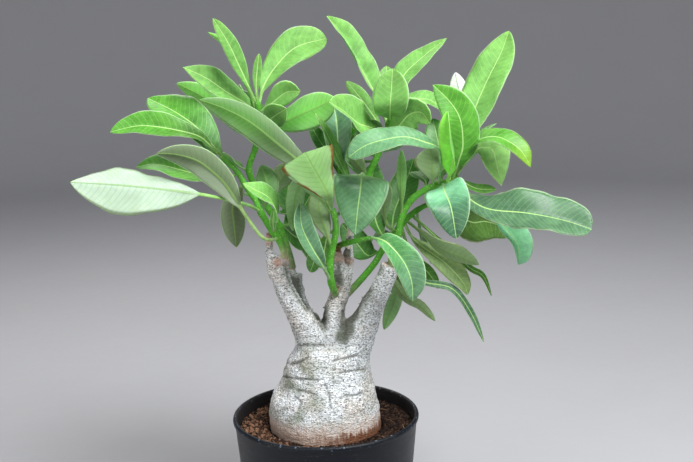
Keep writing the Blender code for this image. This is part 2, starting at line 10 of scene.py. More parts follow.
import bmesh
import bpy
from bpy.props import FloatProperty, FloatVectorProperty, IntProperty, PointerProperty
from mathutils import Matrix, Vector, noise
from mathutils.bvhtree import BVHTree


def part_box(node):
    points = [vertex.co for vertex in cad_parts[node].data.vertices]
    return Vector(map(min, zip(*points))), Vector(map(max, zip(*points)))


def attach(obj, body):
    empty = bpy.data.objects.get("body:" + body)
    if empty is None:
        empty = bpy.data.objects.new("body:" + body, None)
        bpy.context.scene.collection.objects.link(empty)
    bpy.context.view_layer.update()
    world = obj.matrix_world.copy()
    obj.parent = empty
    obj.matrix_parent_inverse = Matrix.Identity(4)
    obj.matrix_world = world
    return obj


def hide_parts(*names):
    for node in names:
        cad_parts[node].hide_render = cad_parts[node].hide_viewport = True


bl_info = {
    "name": "Potted pachypodium",
    "version": (1, 0, 0),
    "blender": (4, 5, 0),
    "location": "3D View > Sidebar > Plant",
    "description": "Builds a potted pachypodium with its leaves, bark, soil, pot and studio",
    "category": "Add Mesh",
}

MM = 0.001

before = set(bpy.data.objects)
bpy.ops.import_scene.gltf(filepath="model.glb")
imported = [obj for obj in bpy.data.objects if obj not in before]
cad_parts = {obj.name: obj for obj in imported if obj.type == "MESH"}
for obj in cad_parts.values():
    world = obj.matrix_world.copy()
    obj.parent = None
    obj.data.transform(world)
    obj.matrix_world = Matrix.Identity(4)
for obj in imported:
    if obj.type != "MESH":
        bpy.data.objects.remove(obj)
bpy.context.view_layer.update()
POT_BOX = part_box("pot")

# The pot's profile follows the model's
RIM_RADIUS = POT_BOX[1].x
POT_HEIGHT = POT_BOX[1].z
FOOT_RADIUS = 62 * MM
WALL = 2.2 * MM
FLOOR = 2.6 * MM
LIP_HEIGHT = 4.2 * MM
LIP_OUT = 1.1 * MM
DRAIN_HOLES = 8
DRAIN_RADIUS = 4.5 * MM
DRAIN_CIRCLE = 38 * MM
POT_SIDES, BED_SIDES, DRAIN_SIDES = 160, 144, 28
SHARP_EDGE = math.radians(42)

SOIL_TOP = 119.5 * MM
SOIL_GAP = 0.4 * MM
SOIL_BUMP = 1.3 * MM
SOIL_RINGS = 18
SURFACE_FROM = SOIL_TOP - 4 * MM  # what lies above this height is the soil's surface
ROOT_CLEAR = 0.6 * MM
GRANULE_DENSITY = 1500000  # more points a square metre than their spacing lets through
STRAW_DENSITY = 5500
STRAW_SPACING = 4 * MM
STRAW_RADIUS = 0.29 * MM
STRAW_LIFT = 1.1 * MM

# The plant is laid out on a front elevation, seen from VIEW_EYE. Each point is (across, up, depth) in
# millimetres: across and up on a sheet VIEW_SHEET away, from its centre, and depth behind the pot's axis.
VIEW_EYE = Vector((20, -770, 422)) * MM
VIEW_PITCH = math.radians(10.56)
VIEW_ROLL = math.radians(-1.32)
VIEW_SHEET = 800 * MM
SHEET_WIDTH = 554.4 * MM
SENSOR = 36  # millimetres
CURVE_STEPS = 16  # between two points of a drawn route
LEAF_SPREAD = 1.5  # a leaf's drawn depths are multiplied by this
WAVE_STEP = 19 * MM
TIP_HALF, TIP_THICKNESS = 0.15 * MM, 0.3 * MM
STEM_STATION = 2.5 * MM
KNOT_SWELL, KNOT_REACH = 0.16, 0.02  # how much a stem swells at a leaf, and over what share of its length
TWIG_STEPS = 24
HALF_FROM, HALF_TO = 0.06, -0.06  # across the blade, where the painted glare on one half of a pale leaf starts and is full
VEIN_SPACING = 4.2 * MM
VEIN_WANDER = 1.6 * MM
RIB_FOOT, RIB_TIP = 0.74 * MM, 0.22 * MM  # half width of the midrib at the blade's foot and tip
RIB_UNDER = 0.75  # how much wider the midrib is on the underside, as a share

# The trunk's skin and its spine stubs
TRUNK_SIDES, BRANCH_SIDES = 72, 20
BARK_SOFTENING, SOFTENING_STEPS = 0.5, 14
STUBS_FROM = 182 * MM
STUB_SPACING = 4.5 * MM
STUB_TIP, STUB_FOOT = 0.22 * MM, 0.75 * MM

# Fixed colours that the palette's colours are mixed with
BROWNED_RIM = (0.17, 0.075, 0.02)
BROWNED_EDGE = (0.20, 0.085, 0.025)
YELLOWED_TIP = (0.36, 0.46, 0.04)
BARK_FLAKES = (0.97, 0.98, 1.0)
DRIEST_SOIL = (0.42, 0.22, 0.13)
FLOOR_MOTTLE = (0.5, 0.5, 0.52)

# The studio's floor, which curves up into a backdrop
FLOOR_DROP = 0.5 * MM
FLOOR_REACH, FLOOR_BEND, BACKDROP_TOP = 2.4, 1.0, 2.6
FLOOR_SIDES, BEND_STEPS = 96, 12

# Swollen base of the trunk: centre's x, height and radius of each ring, in millimetres
BASE_RINGS = [
    (0, 82, 18), (0, 86, 32), (0, 95, 41), (0, 108, 44.5), (-0.4, 120, 45), (-1.4, 132, 44.6),
    (-1.2, 141, 43.2), (-0.4, 148, 41.2), (1, 154, 38.6), (1.5, 160, 36.2), (2, 168, 34.2),
    (3.5, 179, 31), (6, 188, 27),
]

# Branches and cut stubs: (across, up, depth, radius)
BRANCHES = {
    "front left": [
        (-24, -97, -2, 16), (-30, -82, -6, 12), (-38, -68, -11, 9.2), (-45, -56, -15, 8),
        (-50, -45, -17, 7.4), (-53, -35, -19, 7.2), (-54, -27, -20, 6.2),
    ],
    "front left collar": [(-53, -35, -19, 6.2), (-51, -27, -21, 5.4), (-50, -20, -22, 4.6)],
    "front left twig": [
        (-57, -38, -20, 4.6), (-61, -24, -21, 3.8), (-62, -12, -22, 3.5), (-62, -1, -22, 3.4),
    ],
    "front left stub": [(-56, -30, -21, 4), (-58, -18, -22, 2.4)],
    "rear left": [
        (-20, -97, 6, 13), (-28, -80, 12, 8.6), (-37, -64, 17, 6.4), (-43, -50, 20, 5.8),
        (-45, -38, 21, 5.6), (-45, -28, 20, 5),
    ],
    "rear left knob": [
        (-27, -76, 6, 8), (-33, -63, 10, 5.4), (-37, -52, 12, 4.6), (-38.5, -42, 13, 4.3),
        (-38, -33, 13, 3.8),
    ],
    "middle": [
        (-10, -97, 1, 14), (-11, -80, 2, 10), (-9, -63, 4, 8.4), (-5, -48, 5, 8), (-2, -38, 6, 6.6),
        (0, -29, 7, 5.6), (2, -20, 8, 5),
    ],
    "middle twig": [(0, -30, 7, 5.4), (1.4, -20, 7.6, 4.3), (2.4, -10, 7.9, 3.8), (3.4, -1, 8, 3.5)],
    "left saddle": [(-22, -96, 5, 12), (-24, -83, 8, 8.6), (-25.5, -73, 10, 5.8), (-27, -66, 11, 3.8)],
    "middle stub": [(-4, -43, 3, 6.4), (-6, -32, -1, 5.8), (-8, -20, -4, 5.2), (-9, -13, -6, 4.4)],
    "right": [
        (-2, -101, 0, 20), (8, -84, -2, 15.4), (16, -70, -4, 11.8), (22, -58, -5, 9.6),
        (27, -47, -6, 8.4), (32, -36, -7, 7.8), (35, -27, -8, 7.4),
    ],
}


def leaf(at, route, width, face, fold=14, stalk=0.12, foot=1.1, tip=0.7, tone="fresh", end=None):
    """One leaf. at is where it leaves its stem (0 foot, 1 top) and route leads its midrib to the tip.

    face turns the blade about its midrib: at 0 its upper side looks at the viewer, at 90 up, at 180 away.
    fold lifts both halves of the blade, in degrees, and stalk is the share of the length before the blade.
    foot and tip are how drawn out the blade is at its two ends: 0.4 blunt, 1.5 long and narrow.
    tone names its colours, and end those of its far end where they differ.
    """
    return {"at": at, "route": route, "width": width, "face": face, "fold": fold, "stalk": stalk,
            "foot": foot, "tip": tip, "tone": tone, "end": end or tone}


# Each stem: its route and the radii of its foot and top in millimetres, then its bare twigs and its leaves
STEMS = {
    "leafy_stem_left": {
        "route": [
            (-50, -28, -21), (-50, -17, -22), (-54, -7, -23), (-60, 1, -24), (-68, 14, -24), (-73, 25, -23),
            (-80, 35, -22), (-87, 47, -20), (-96, 56, -18), (-102, 62, -17),
        ],
        "radii": (2.9, 1.9),
        "woody": 0.08,
        "foot_skin": "collar_pale",
        "leaves": [
            leaf(0.47, [(-83, 22, -28), (-121, 30, -38), (-173, 36, -48), (-221, 39, -52)], 41, 210, 25,
                 0.38, foot=1.0, tip=0.8, tone="pale"),
            leaf(0.22, [(-66, -6, -30), (-77, 7, -34), (-87, 22, -36), (-97, 37, -37), (-108, 48, -39),
                        (-119, 56, -41), (-135, 61, -43), (-152, 62, -46)], 22, 178, 20, 0.42, foot=0.8,
                 tip=0.8, tone="ashen", end="ashen far"),
            leaf(0.80, [(-100, 40, -12), (-127, 47, -10), (-152, 53, -8), (-168, 51, -6)], 27, 50,
                 tone="fresh", end="grass"),
            leaf(0.72, [(-85, 33, -8), (-91, 20, -4), (-90, 5, -2), (-88, -13, 0)], 20, 170, tip=0.8,
                 tone="dusky"),
            leaf(0.95, [(-109, 68, -17), (-122, 77, -17), (-161, 84, -18), (-189, 79, -22)], 23, 35, 25,
                 end="grass"),
            leaf(0.93, [(-107, 68, -12), (-119, 82, -8), (-137, 95, -2), (-159, 106, 8)], 34, 30, 14, 0.05,
                 foot=0.9, tip=0.75, tone="deep", end="grass"),
            leaf(0.28, [(-57, 14, -28), (-62, 26, -33), (-74, 33, -38), (-83, 38, -38)], 20, 60, 20, 0.25,
                 foot=0.7, tip=0.8, tone="lime"),
            leaf(0.45, [(-63, 33, -18), (-68, 53, -12)], 18, 170, tone="deep"),
            leaf(0.28, [(-59, 9, -27), (-58, 18, -28)], 5, 0, tone="lime"),
            leaf(0.88, [(-108, 66, 20), (-117, 73, 62)], 25, 90),
            leaf(0.60, [(-92, 32, 15), (-104, 38, 55)], 25, 90),
        ],
    },
    "leafy_stem_top_left": {
        "route": [
            (-43, -30, 20), (-47, -15, 22), (-54, 4, 22), (-65, 22, 20), (-74, 37, 16), (-78, 50, 12),
            (-73, 66, 8), (-69, 81, 5), (-70, 95, 3), (-72, 105, 2),
        ],
        "radii": (3.0, 2.0),
        "leaves": [
            leaf(0.97, [(-77, 113, 0), (-85, 130, -4), (-95, 151, -8), (-107, 170, -12)], 14, 25,
                 tone="lime"),
            leaf(0.92, [(-84, 125, 12), (-98, 150, 18), (-111, 159, 20)], 7, 160, tone="lime"),
            leaf(0.96, [(-66, 116, 4), (-56, 132, 8), (-40, 147, 12), (-16, 154, 14)], 30, 25, foot=1.0,
                 tip=0.5, tone="lime"),
            leaf(0.99, [(-72, 121, -2), (-70, 142, -3)], 7, 0, tone="lime"),
            leaf(0.93, [(-60, 102, -2), (-48, 111, -6), (-37, 112, -10)], 19, 15, tone="lime"),
            leaf(0.85, [(-53, 86, -4), (-37, 93, -8), (-21, 100, -10), (-9, 106, -12)], 28, 195,
                 tone="lime"),
            leaf(0.75, [(-89, 85, 18), (-113, 106, 24), (-136, 118, 26)], 19, 150, tone="lime"),
            leaf(0.88, [(-77, 99, 6), (-96, 111, 2), (-112, 122, -2), (-131, 131, -6)], 24, 35, tip=1.0,
                 tone="lime"),
            leaf(0.83, [(-60, 90, -7), (-48, 98, -19)], 20, 10, tone="lime"),
            leaf(0.42, [(-57, 34, 16), (-49, 45, 12), (-37, 53, 8)], 20, 160, tone="olive"),
            leaf(0.25, [(-45, 6, 26), (-36, 16, 32), (-27, 32, 36)], 24, 15, tone="deep"),
            leaf(0.30, [(-42, -4, 30), (-31, -8, 36), (-21, -28, 38)], 22, 0, tone="deep"),
            leaf(0.35, [(-46, 14, 28), (-47, 30, 34), (-45, 50, 36)], 20, 10, tone="deep"),
            leaf(0.90, [(-73, 101, 35), (-85, 111, 78)], 25, 90),
            leaf(0.80, [(-53, 81, 30), (-37, 89, 72)], 25, 90),
            leaf(0.60, [(-89, 53, 38), (-105, 65, 76)], 24, 90),
        ],
    },
    "leafy_stem_front": {
        "route": [
            (-8, -52, 1), (-12, -42, -13), (-13, -31, -18), (-12, -17, -21), (-9, -4, -24), (-9, 9, -27),
            (-12, 19, -30),
        ],
        "radii": (2.9, 2.2),
        "leaves": [
            leaf(0.97, [(-14, 27, -34), (-20, 39, -37), (-27, 51, -39), (-33, 62, -38), (-32, 61, -33)], 41,
                 185, 8, 0.08, foot=2.0, tip=0.35, tone="browned"),
            leaf(0.92, [(-20, 34, -26), (-33, 51, -23), (-53, 68, -23), (-77, 87, -27), (-98, 98, -30),
                        (-118, 105, -31)], 23, 190, 14, 0.2, tip=0.8, tone="shady", end="verdant"),
            leaf(0.25, [(-20, -26, -22), (-28, -13, -26), (-36, 4, -28), (-37, 23, -26)], 19, 20, 30, 0.25,
                 tone="blue"),
            leaf(0.60, [(-17, 2, -18), (-22, 18, -16), (-20, 38, -14)], 17, 190, tone="olive"),
            leaf(0.90, [(-23, 28, -22), (-35, 38, -18), (-41, 28, -18), (-43, 0, -20)], 14, 180,
                 tone="sage"),
            leaf(0.75, [(-15, -3, -14), (-20, -30, -10)], 15, 0, tone="olive"),
            leaf(0.40, [(-22, -18, -8), (-29, -33, -4)], 13, 0, tone="sage"),
        ],
    },
    "leafy_stem_centre": {
        "route": [
            (0, -30, 7), (1, -20, 7.5), (3, -2, 8), (4, 5, 8), (9, 22, 8), (17, 43, 6), (27, 65, 4),
            (32, 79, 2), (36, 92, 0),
        ],
        "radii": (2.9, 2.1),
        "woody": 0.45,
        "twigs": [[(4, 5, 8), (-3, 20, 4), (-5, 42, 0), (-3, 65, -3), (6, 82, -4)]],
        "leaves": [
            leaf(0.93, [(27, 101, 4), (16, 121, 8), (7, 137, 10), (-4, 156, 13), (-16, 172, 16)], 28, 50,
                 40, tip=0.8, tone="lime"),
            leaf(0.97, [(35, 99, -14), (36, 113, -15), (37, 130, -14)], 28, 5, 14, 0.03, foot=1.1,
                 tip=0.7, tone="lime"),
            leaf(0.92, [(33, 105, 14), (32, 132, 24)], 18, 0, tone="lime"),
            leaf(0.96, [(41, 106, 6), (46, 124, 10), (60, 138, 12), (80, 154, 14)], 21, 40, tip=0.9,
                 tone="lime"),
            leaf(0.85, [(20, 82, -6), (9, 86, -16), (-3, 96, -24), (-14, 103, -30)], 35, 50, 22, foot=0.9,
                 tip=0.7, tone="lime"),
            leaf(0.88, [(15, 101, 18), (0, 120, 28)], 14, 30, tone="lime"),
            leaf(0.95, [(49, 102, 8), (65, 105, 12), (80, 95, 14)], 19, 45, tone="lime"),
            leaf(0.90, [(41, 83, -6), (50, 93, -11), (60, 95, -15), (67, 86, -18)], 26, 10, foot=0.8,
                 tone="lime"),
            leaf(0.87, [(23, 86, -2), (9, 88, -6)], 12, 100, tone="deep"),
            leaf(0.57, [(13, 46, -10), (12, 42, -16), (11, 32, -20), (9, 17, -21), (7, -3, -20)], 43, 0, 10,
                 0.40, foot=0.15, tip=0.75, tone="aqua"),
            leaf(0.45, [(-6, 57, -4), (-7, 73, -4), (-8, 89, 0), (-11, 104, 7)], 26, 0, 30, 0.3, foot=1.2,
                 tone="blue"),
            leaf(0.43, [(-8, 60, -10), (-15, 76, -14), (-25, 94, -18)], 13, 55, tone="lime"),
            leaf(0.40, [(-6, 52, 4), (-17, 65, 6), (-30, 86, 8)], 18, 40, tone="deep"),
            leaf(0.60, [(9, 53, 12), (4, 61, 14)], 14, 160, tone="olive"),
            leaf(0.55, [(8, 52, 16), (-2, 74, 24), (-13, 92, 28)], 24, 10, tone="deep"),
            leaf(0.75, [(20, 62, 14), (15, 80, 22), (9, 98, 26)], 22, 10, tone="deep"),
            leaf(0.88, [(31, 89, 38), (20, 103, 78)], 26, 90),
            leaf(0.82, [(39, 65, 38), (51, 73, 80)], 26, 90),
            leaf(0.70, [(7, 57, 35), (-9, 65, 76)], 25, 90, tone="deep"),
            leaf(0.50, [(3, 21, 35), (-5, 13, 68)], 24, 90, tone="deep"),
        ],
    },
    "leafy_stem_upper_right": {
        "route": [
            (36, -31, -8), (37, -19, -9), (41, -6, -11), (44, 11, -12), (52, 25, -12), (65, 34, -10),
            (77, 38, -8), (85, 40, -6), (88, 49, -4),
        ],
        "radii": (3.2, 2.1),
        "leaves": [
            leaf(0.95, [(94, 73, -2), (103, 98, 2), (113, 121, 6), (124, 143, 10), (130, 160, 12)], 32, 20,
                 foot=1.0, tone="lime"),
            leaf(0.93, [(90, 82, 22), (92, 100, 28), (87, 127, 34)], 23, 180, tone="white"),
            leaf(0.90, [(90, 57, -11), (93, 69, -13), (91, 89, -14), (83, 103, -14), (69, 117, -13)], 29,
                 20, tip=0.9, tone="grass"),
            leaf(0.86, [(86, 58, -17), (84, 74, -24), (82, 88, -27), (81, 96, -28)], 22, -45, 45, foot=0.8,
                 tone="sunlit"),
            leaf(0.95, [(95, 62, -8), (107, 73, -14), (120, 75, -18), (132, 70, -21), (141, 62, -23),
                        (147, 51, -24)], 21, 55, tip=0.8, end="yellowed"),
            leaf(0.97, [(103, 73, 12), (120, 86, 18)], 16, 60),
            leaf(0.93, [(100, 62, -4), (110, 67, -6), (117, 65, -8), (120, 54, -10), (124, 36, -12)], 25,
                 10, 14, 0.4, foot=0.5, tip=1.0, tone="soft"),
            leaf(0.95, [(103, 34, -8), (120, 33, -10)], 11, 40),
            leaf(0.90, [(99, 25, -12), (115, 17, -18), (145, 14, -24), (175, 8, -28), (196, 1, -32)], 39,
                 38, 18, foot=0.7, tip=0.42, tone="teal"),
            leaf(0.85, [(100, 23, -2), (115, 15, -2), (129, -1, -4), (136, -11, -6), (138, -27, -6)], 27, 38,
                 38, foot=1.4, tip=0.45, tone="mint", end="glossy"),
            leaf(0.83, [(79, 31, -20), (84, 18, -30), (88, -6, -36)], 34, 0, foot=0.4, tip=0.68, tone="frost",
                 end="slate"),
            leaf(0.80, [(75, 54, -16), (73, 66, -20), (62, 71, -25), (47, 75, -29), (31, 73, -32),
                        (15, 68, -34), (2, 59, -34)], 23, 42, 10, 0.3, foot=0.9, tip=0.45, tone="aqua"),
            leaf(0.42, [(44, 33, -14), (44, 49, -14), (44, 65, -16)], 8, 180),
            leaf(0.75, [(69, 49, -8), (67, 67, 0)], 27, 190, tone="olive"),
            leaf(0.70, [(62, 41, -2), (51, 47, 6)], 14, 60, tone="deep"),
            leaf(0.78, [(76, 52, 6), (73, 72, 13), (69, 90, 18)], 23, 10, tone="deep"),
            leaf(0.88, [(84, 50, -6), (81, 57, -4)], 4, 0, tone="lime"),
            leaf(0.90, [(95, 53, 33), (107, 65, 73)], 28, 90),
            leaf(0.82, [(75, 57, 35), (63, 69, 80)], 27, 90),
            leaf(0.85, [(107, 21, 30), (127, 13, 62)], 26, 90),
        ],
    },
    "leafy_stem_lower_right": {
        "route": [
            (-3, -54, 6), (5, -46, 12), (15, -35, 12), (23, -25, 10), (29, -15, 9), (35, -7, 8), (43, 4, 8),
            (54, 15, 8), (67, 22, 8), (79, 25, 8),
        ],
        "radii": (2.9, 1.9),
        "leaves": [
            leaf(0.60, [(32, 5, 2), (30, 21, -2), (31, 41, -6)], 13, 180, 14, 0.3, tone="olive"),
            leaf(0.98, [(98, 8, 10), (111, 8, 12), (123, 4, 12), (132, -4, 12)], 32, -25, foot=0.7, tip=0.6,
                 tone="field"),
            leaf(0.90, [(87, 7, 10), (100, -8, 12)], 12, 20),
            leaf(0.70, [(57, 1, 0), (75, -14, -4), (92, -21, -8), (106, -27, -10)], 19, 130, tone="olive"),
            leaf(0.68, [(55, -8, 4), (79, -26, 0), (93, -41, -2), (97, -51, -2)], 18, 20, tone="dull"),
            leaf(0.75, [(83, -15, 10), (99, -30, 10), (109, -36, 10), (116, -52, 10)], 6, 30),
            leaf(0.60, [(47, -25, 2), (60, -40, -2), (84, -46, -4), (99, -65, -4), (110, -89, -4)], 7, 20,
                 tone="teal"),
            leaf(0.55, [(36, -35, 12), (47, -53, 10), (59, -60, 8), (71, -72, 6)], 10, 150, 14, 0.3,
                 tone="olive"),
            leaf(0.58, [(41, -25, 16), (40, -50, 18), (30, -79, 18)], 13, 180, 14, 0.3, tone="sage"),
            leaf(0.65, [(52, -20, 10), (65, -33, 8), (74, -46, 8)], 11, 0, 14, 0.3),
            leaf(0.55, [(38, 14, 22), (46, 35, 32), (54, 58, 38)], 25, 15, tone="deep"),
            leaf(0.50, [(24, 6, 24), (20, 30, 30), (22, 56, 34)], 24, 10, tone="deep"),
            leaf(0.45, [(18, -20, 20), (10, -12, 26), (-4, 6, 30)], 22, 10, tone="deep"),
            leaf(0.80, [(59, -5, 38), (67, -25, 66)], 24, 90),
            leaf(0.60, [(23, -5, 35), (15, -13, 70)], 24, 90, tone="deep"),
            leaf(0.95, [(88, 20, 40), (98, 10, 74)], 24, 90),
        ],
    },
    "front_hanging_leaf": {
        "route": [(-8, -19, -5), (-6, -12, -9), (3, -9, -14), (12, -7, -18), (21, -5, -21)],
        "radii": (2.8, 1.5),
        "woody": 0.28,
        "foot_skin": "stain",
        "leaves": [
            leaf(0.97, [(30, -8, -24), (38, -15, -26), (47, -27, -28), (52, -41, -30), (53, -56, -30)], 27,
                 20, 32, foot=0.9, tip=0.8, tone="jade", end="blue"),
        ],
    },
}


# Creases of the bark as the front elevation shows them: (across, up) in millimetres. The bark is sunk along
# them and painted darker there with shade.
CREASES = [
    [(-54.8, -115.2), (-45.2, -117.6), (-35.6, -118.4), (-22.8, -119.2)],
    [(-45.2, -106.4), (-37.2, -104.8), (-30.8, -101.6)],
    [(-37.2, -91.2), (-26, -92), (-18, -91.2)],
    [(-38, -127.2), (-30, -129), (-25, -131)],
    [(-10.8, -104), (-1.2, -101.6), (9.2, -99.2)],
    [(-5.2, -113.6), (4.4, -112), (14.8, -110.4)],
    [(-1.2, -131.2), (5, -131.8), (12.4, -129.6)],
    [(-17.2, -123.2), (-14, -130), (-12.4, -141.6)],
    [(-41, -133), (-36, -137), (-38, -142)],
]

# Folds between the branches, drawn in the same way, sunk into the bark and darkened with moss and painted
# shade
FOLDS = [
    [(-48.4, -27), (-46, -36), (-41.6, -46), (-36.5, -55), (-31, -62)],
    [(-1.6, -66), (-2.6, -74), (-3, -84)],
    [(-24, -66), (-20, -72), (-18, -78)],
]

# Flanks beside the forks, and the bare twig of the middle branch, darkened with moss and painted shade
FLANKS = [
    [(14, -46), (7.5, -58), (2, -70), (-2.6, -84)],
    [(-42, -42), (-36, -52), (-28, -60), (-21, -68)],
    [(-1, -4), (0, -20), (-3, -38)],
]

# Where young bark is still reddish: (across, up, depth, reach) in millimetres
COLLARS = [
    (-54, -25, -22, 7), (-62, -6, -22, 9), (-48, -22, -22, 6.5), (-7, -18, -7, 10), (34, -24, -8, 7.5),
    (41, -32, -6, 6), (-45, -26, 20, 8), (1, -24, 8, 8), (-10, -46, 0, 7),
]

# Each tone's upper side, underside, roughness of the upper side, brown of the rim, yellow of the tip and,
# where it has one, the painted light on one half of the underside, its sign picking the half
TONES = {
    "lime": ("lime", "lime_under", 0.55, 0.0, 0.1),
    "grass": ("grass", "lime_under", 0.5, 0.0, 0.0),
    "fresh": ("fresh", "fresh_under", 0.45, 0.0, 0.0),
    "deep": ("deep", "deep_under", 0.38, 0.0, 0.0),
    "blue": ("blue", "sage", 0.33, 0.0, 0.0),
    "teal": ("teal", "sage", 0.33, 0.0, 0.0),
    "shady": ("deep", "fern", 0.45, 0.0, 0.0, -0.12),
    "verdant": ("fresh", "verdant_under", 0.45, 0.0, 0.0, -0.12),
    # Painted light: the glossy tone ends in the colour of the drooping leaf's lit tip
    "glossy": ("painted_lit_tip", "sage", 0.26, 0.0, 0.0),
    "aqua": ("aqua", "sage", 0.26, 0.0, 0.0),
    "mint": ("mint", "sage", 0.26, 0.0, 0.0),
    "slate": ("slate", "sage", 0.33, 0.0, 0.0),
    "frost": ("frost", "sage", 0.32, 0.0, 0.0),
    "soft": ("soft", "sage", 0.45, 0.0, 0.0),
    "sunlit": ("sunlit", "lime_under", 0.55, 0.0, 0.0),
    "field": ("field", "olive", 0.48, 0.1, 0.0),
    "ashen": ("dull", "ash", 0.48, 0.0, 0.0, 0.75),
    "ashen far": ("dull", "ash", 0.48, 0.0, 0.0, 0.15),
    "dusky": ("dull", "dusk", 0.48, 0.0, 0.0, -0.12),
    "dull": ("dull", "olive", 0.45, 0.1, 0.0),
    "olive": ("fresh", "olive", 0.40, 0.2, 0.0),
    "sage": ("deep", "sage", 0.40, 0.0, 0.0),
    "pale": ("lime", "pale_shade", 0.45, 0.0, 0.0),
    # The white tone paints glare over a whole underside
    "white": ("lime", "pale", 0.45, 0.0, 0.0),
    "jade": ("jade", "sage", 0.28, 0.0, 0.0),
    "browned": ("mint", "celadon", 0.36, 1.0, 0.0),
    "yellowed": ("grass", "lime_under", 0.38, 0.1, 0.8),
}


def view_axes():
    """The elevation's right, top and depth directions in the row frame."""
    ahead = Vector((0, math.cos(VIEW_PITCH), -math.sin(VIEW_PITCH)))
    level = Vector((1, 0, 0))
    rise = level.cross(ahead)
    right = math.cos(VIEW_ROLL) * level + math.sin(VIEW_ROLL) * rise
    return right, math.cos(VIEW_ROLL) * rise - math.sin(VIEW_ROLL) * level, ahead


RIGHT, TOP, AHEAD = view_axes()


def place(across, up, depth):
    """The point that the front elevation shows at (across, up), this far behind the pot's axis."""
    ray = AHEAD * VIEW_SHEET + RIGHT * (across * MM) + TOP * (up * MM)
    return VIEW_EYE + ray * ((depth * MM - VIEW_EYE.y) / ray.y)


def drawn(point):
    """Where the front elevation shows a point, as (across, up) in millimetres."""
    ray = point - VIEW_EYE
    scale = VIEW_SHEET / ray.dot(AHEAD) / MM
    return Vector((ray.dot(RIGHT) * scale, ray.dot(TOP) * scale))


def smooth_route(points, shares):
    """Points at these shares of the length of a smooth curve through the given points."""
    ends = [points[0] * 2 - points[1], *points, points[-1] * 2 - points[-2]]
    fine = [points[0]]
    for a, b, c, d in zip(ends, ends[1:], ends[2:], ends[3:]):
        for step in range(1, CURVE_STEPS + 1):
            t = step / CURVE_STEPS
            fine.append(0.5 * (2 * b + (c - a) * t + (2 * a - 5 * b + 4 * c - d) * t**2
                               + (3 * b - 3 * c + d - a) * t**3))
    lengths = [0.0]
    for before, after in zip(fine, fine[1:]):
        lengths.append(lengths[-1] + (after - before).length)
    found = []
    i = 1
    for share in shares:
        goal = share * lengths[-1]
        while lengths[i] < goal and i < len(lengths) - 1:
            i += 1
        t = (goal - lengths[i - 1]) / (lengths[i] - lengths[i - 1])
        found.append(fine[i - 1].lerp(fine[i], min(1, t)))
    return found


def length_of(points):
    return sum((b - a).length for a, b in zip(points, points[1:]))


def tangents_of(points):
    ends = [points[0], *points, points[-1]]
    return [(after - before).normalized() for before, after in zip(ends, ends[2:])]


def carried(normal, tangents, start):
    """The normal at each tangent, carried along the curve without twist from the one at start."""
    normals = [None] * len(tangents)
    normals[start] = normal
    for i in range(start + 1, len(tangents)):
        normals[i] = tangents[i - 1].rotation_difference(tangents[i]) @ normals[i - 1]
    for i in range(start - 1, -1, -1):
        normals[i] = tangents[i + 1].rotation_difference(tangents[i]) @ normals[i + 1]
    return normals


def smoothstep(low, high, value):
    t = min(1, max(0, (value - low) / (high - low)))
    return t * t * (3 - 2 * t)


# Sizes and colours


def length_setting(name, about, default):
    return FloatProperty(
        name=name, description=about, default=default, min=0, subtype="DISTANCE", unit="LENGTH")


def share_setting(name, about, default):
    return FloatProperty(name=name, description=about, default=default, min=0)


def power_setting(name, about, default):
    return FloatProperty(name=name, description=about, default=default, min=0, unit="POWER")


def colour_setting(name, about, default):
    return FloatVectorProperty(
        name=name, description=about, default=default, size=3, min=0, max=1, subtype="COLOR")


class PlantSizes(bpy.types.PropertyGroup):
    """Sizes of the plant's fine forms."""

    blade: length_setting("Blade", "Thickness of a leaf blade", 0.8 * MM)
    stalk: length_setting("Stalk", "Width of a leaf stalk", 2.6 * MM)
    edge_wave: share_setting("Edge wave", "Long wave of a blade, in widths", 0.06)
    rim_wave: share_setting("Rim wave", "Short wave of the rim, in half widths", 0.035)
    rim_wave_length: length_setting("Rim wave length", "Length of one short wave of the rim", 17 * MM)
    station: length_setting("Station", "Spacing of the sections along a blade", 3.2 * MM)
    section_points: IntProperty(
        name="Section points", description="Points round a section", default=24, min=8)
    bark_voxel: length_setting("Bark voxel", "Cell of the bark's skin", 1.15 * MM)
    crease_depth: length_setting("Crease depth", "Depth of the drawn creases", 1.1 * MM)
    crease_width: length_setting("Crease width", "Half width of the drawn creases", 0.9 * MM)
    fold_depth: length_setting("Fold depth", "Depth of the folds between the branches", 1.7 * MM)
    fold_width: length_setting("Fold width", "Half width of the folds between the branches", 1.9 * MM)
    stub: length_setting("Spine stub", "Length of a spine stub on the branches", 1.3 * MM)
    granule: length_setting("Granule", "Mean width of a soil granule", 2.6 * MM)
    straw: length_setting("Straw", "Length of a piece of straw", 6.5 * MM)


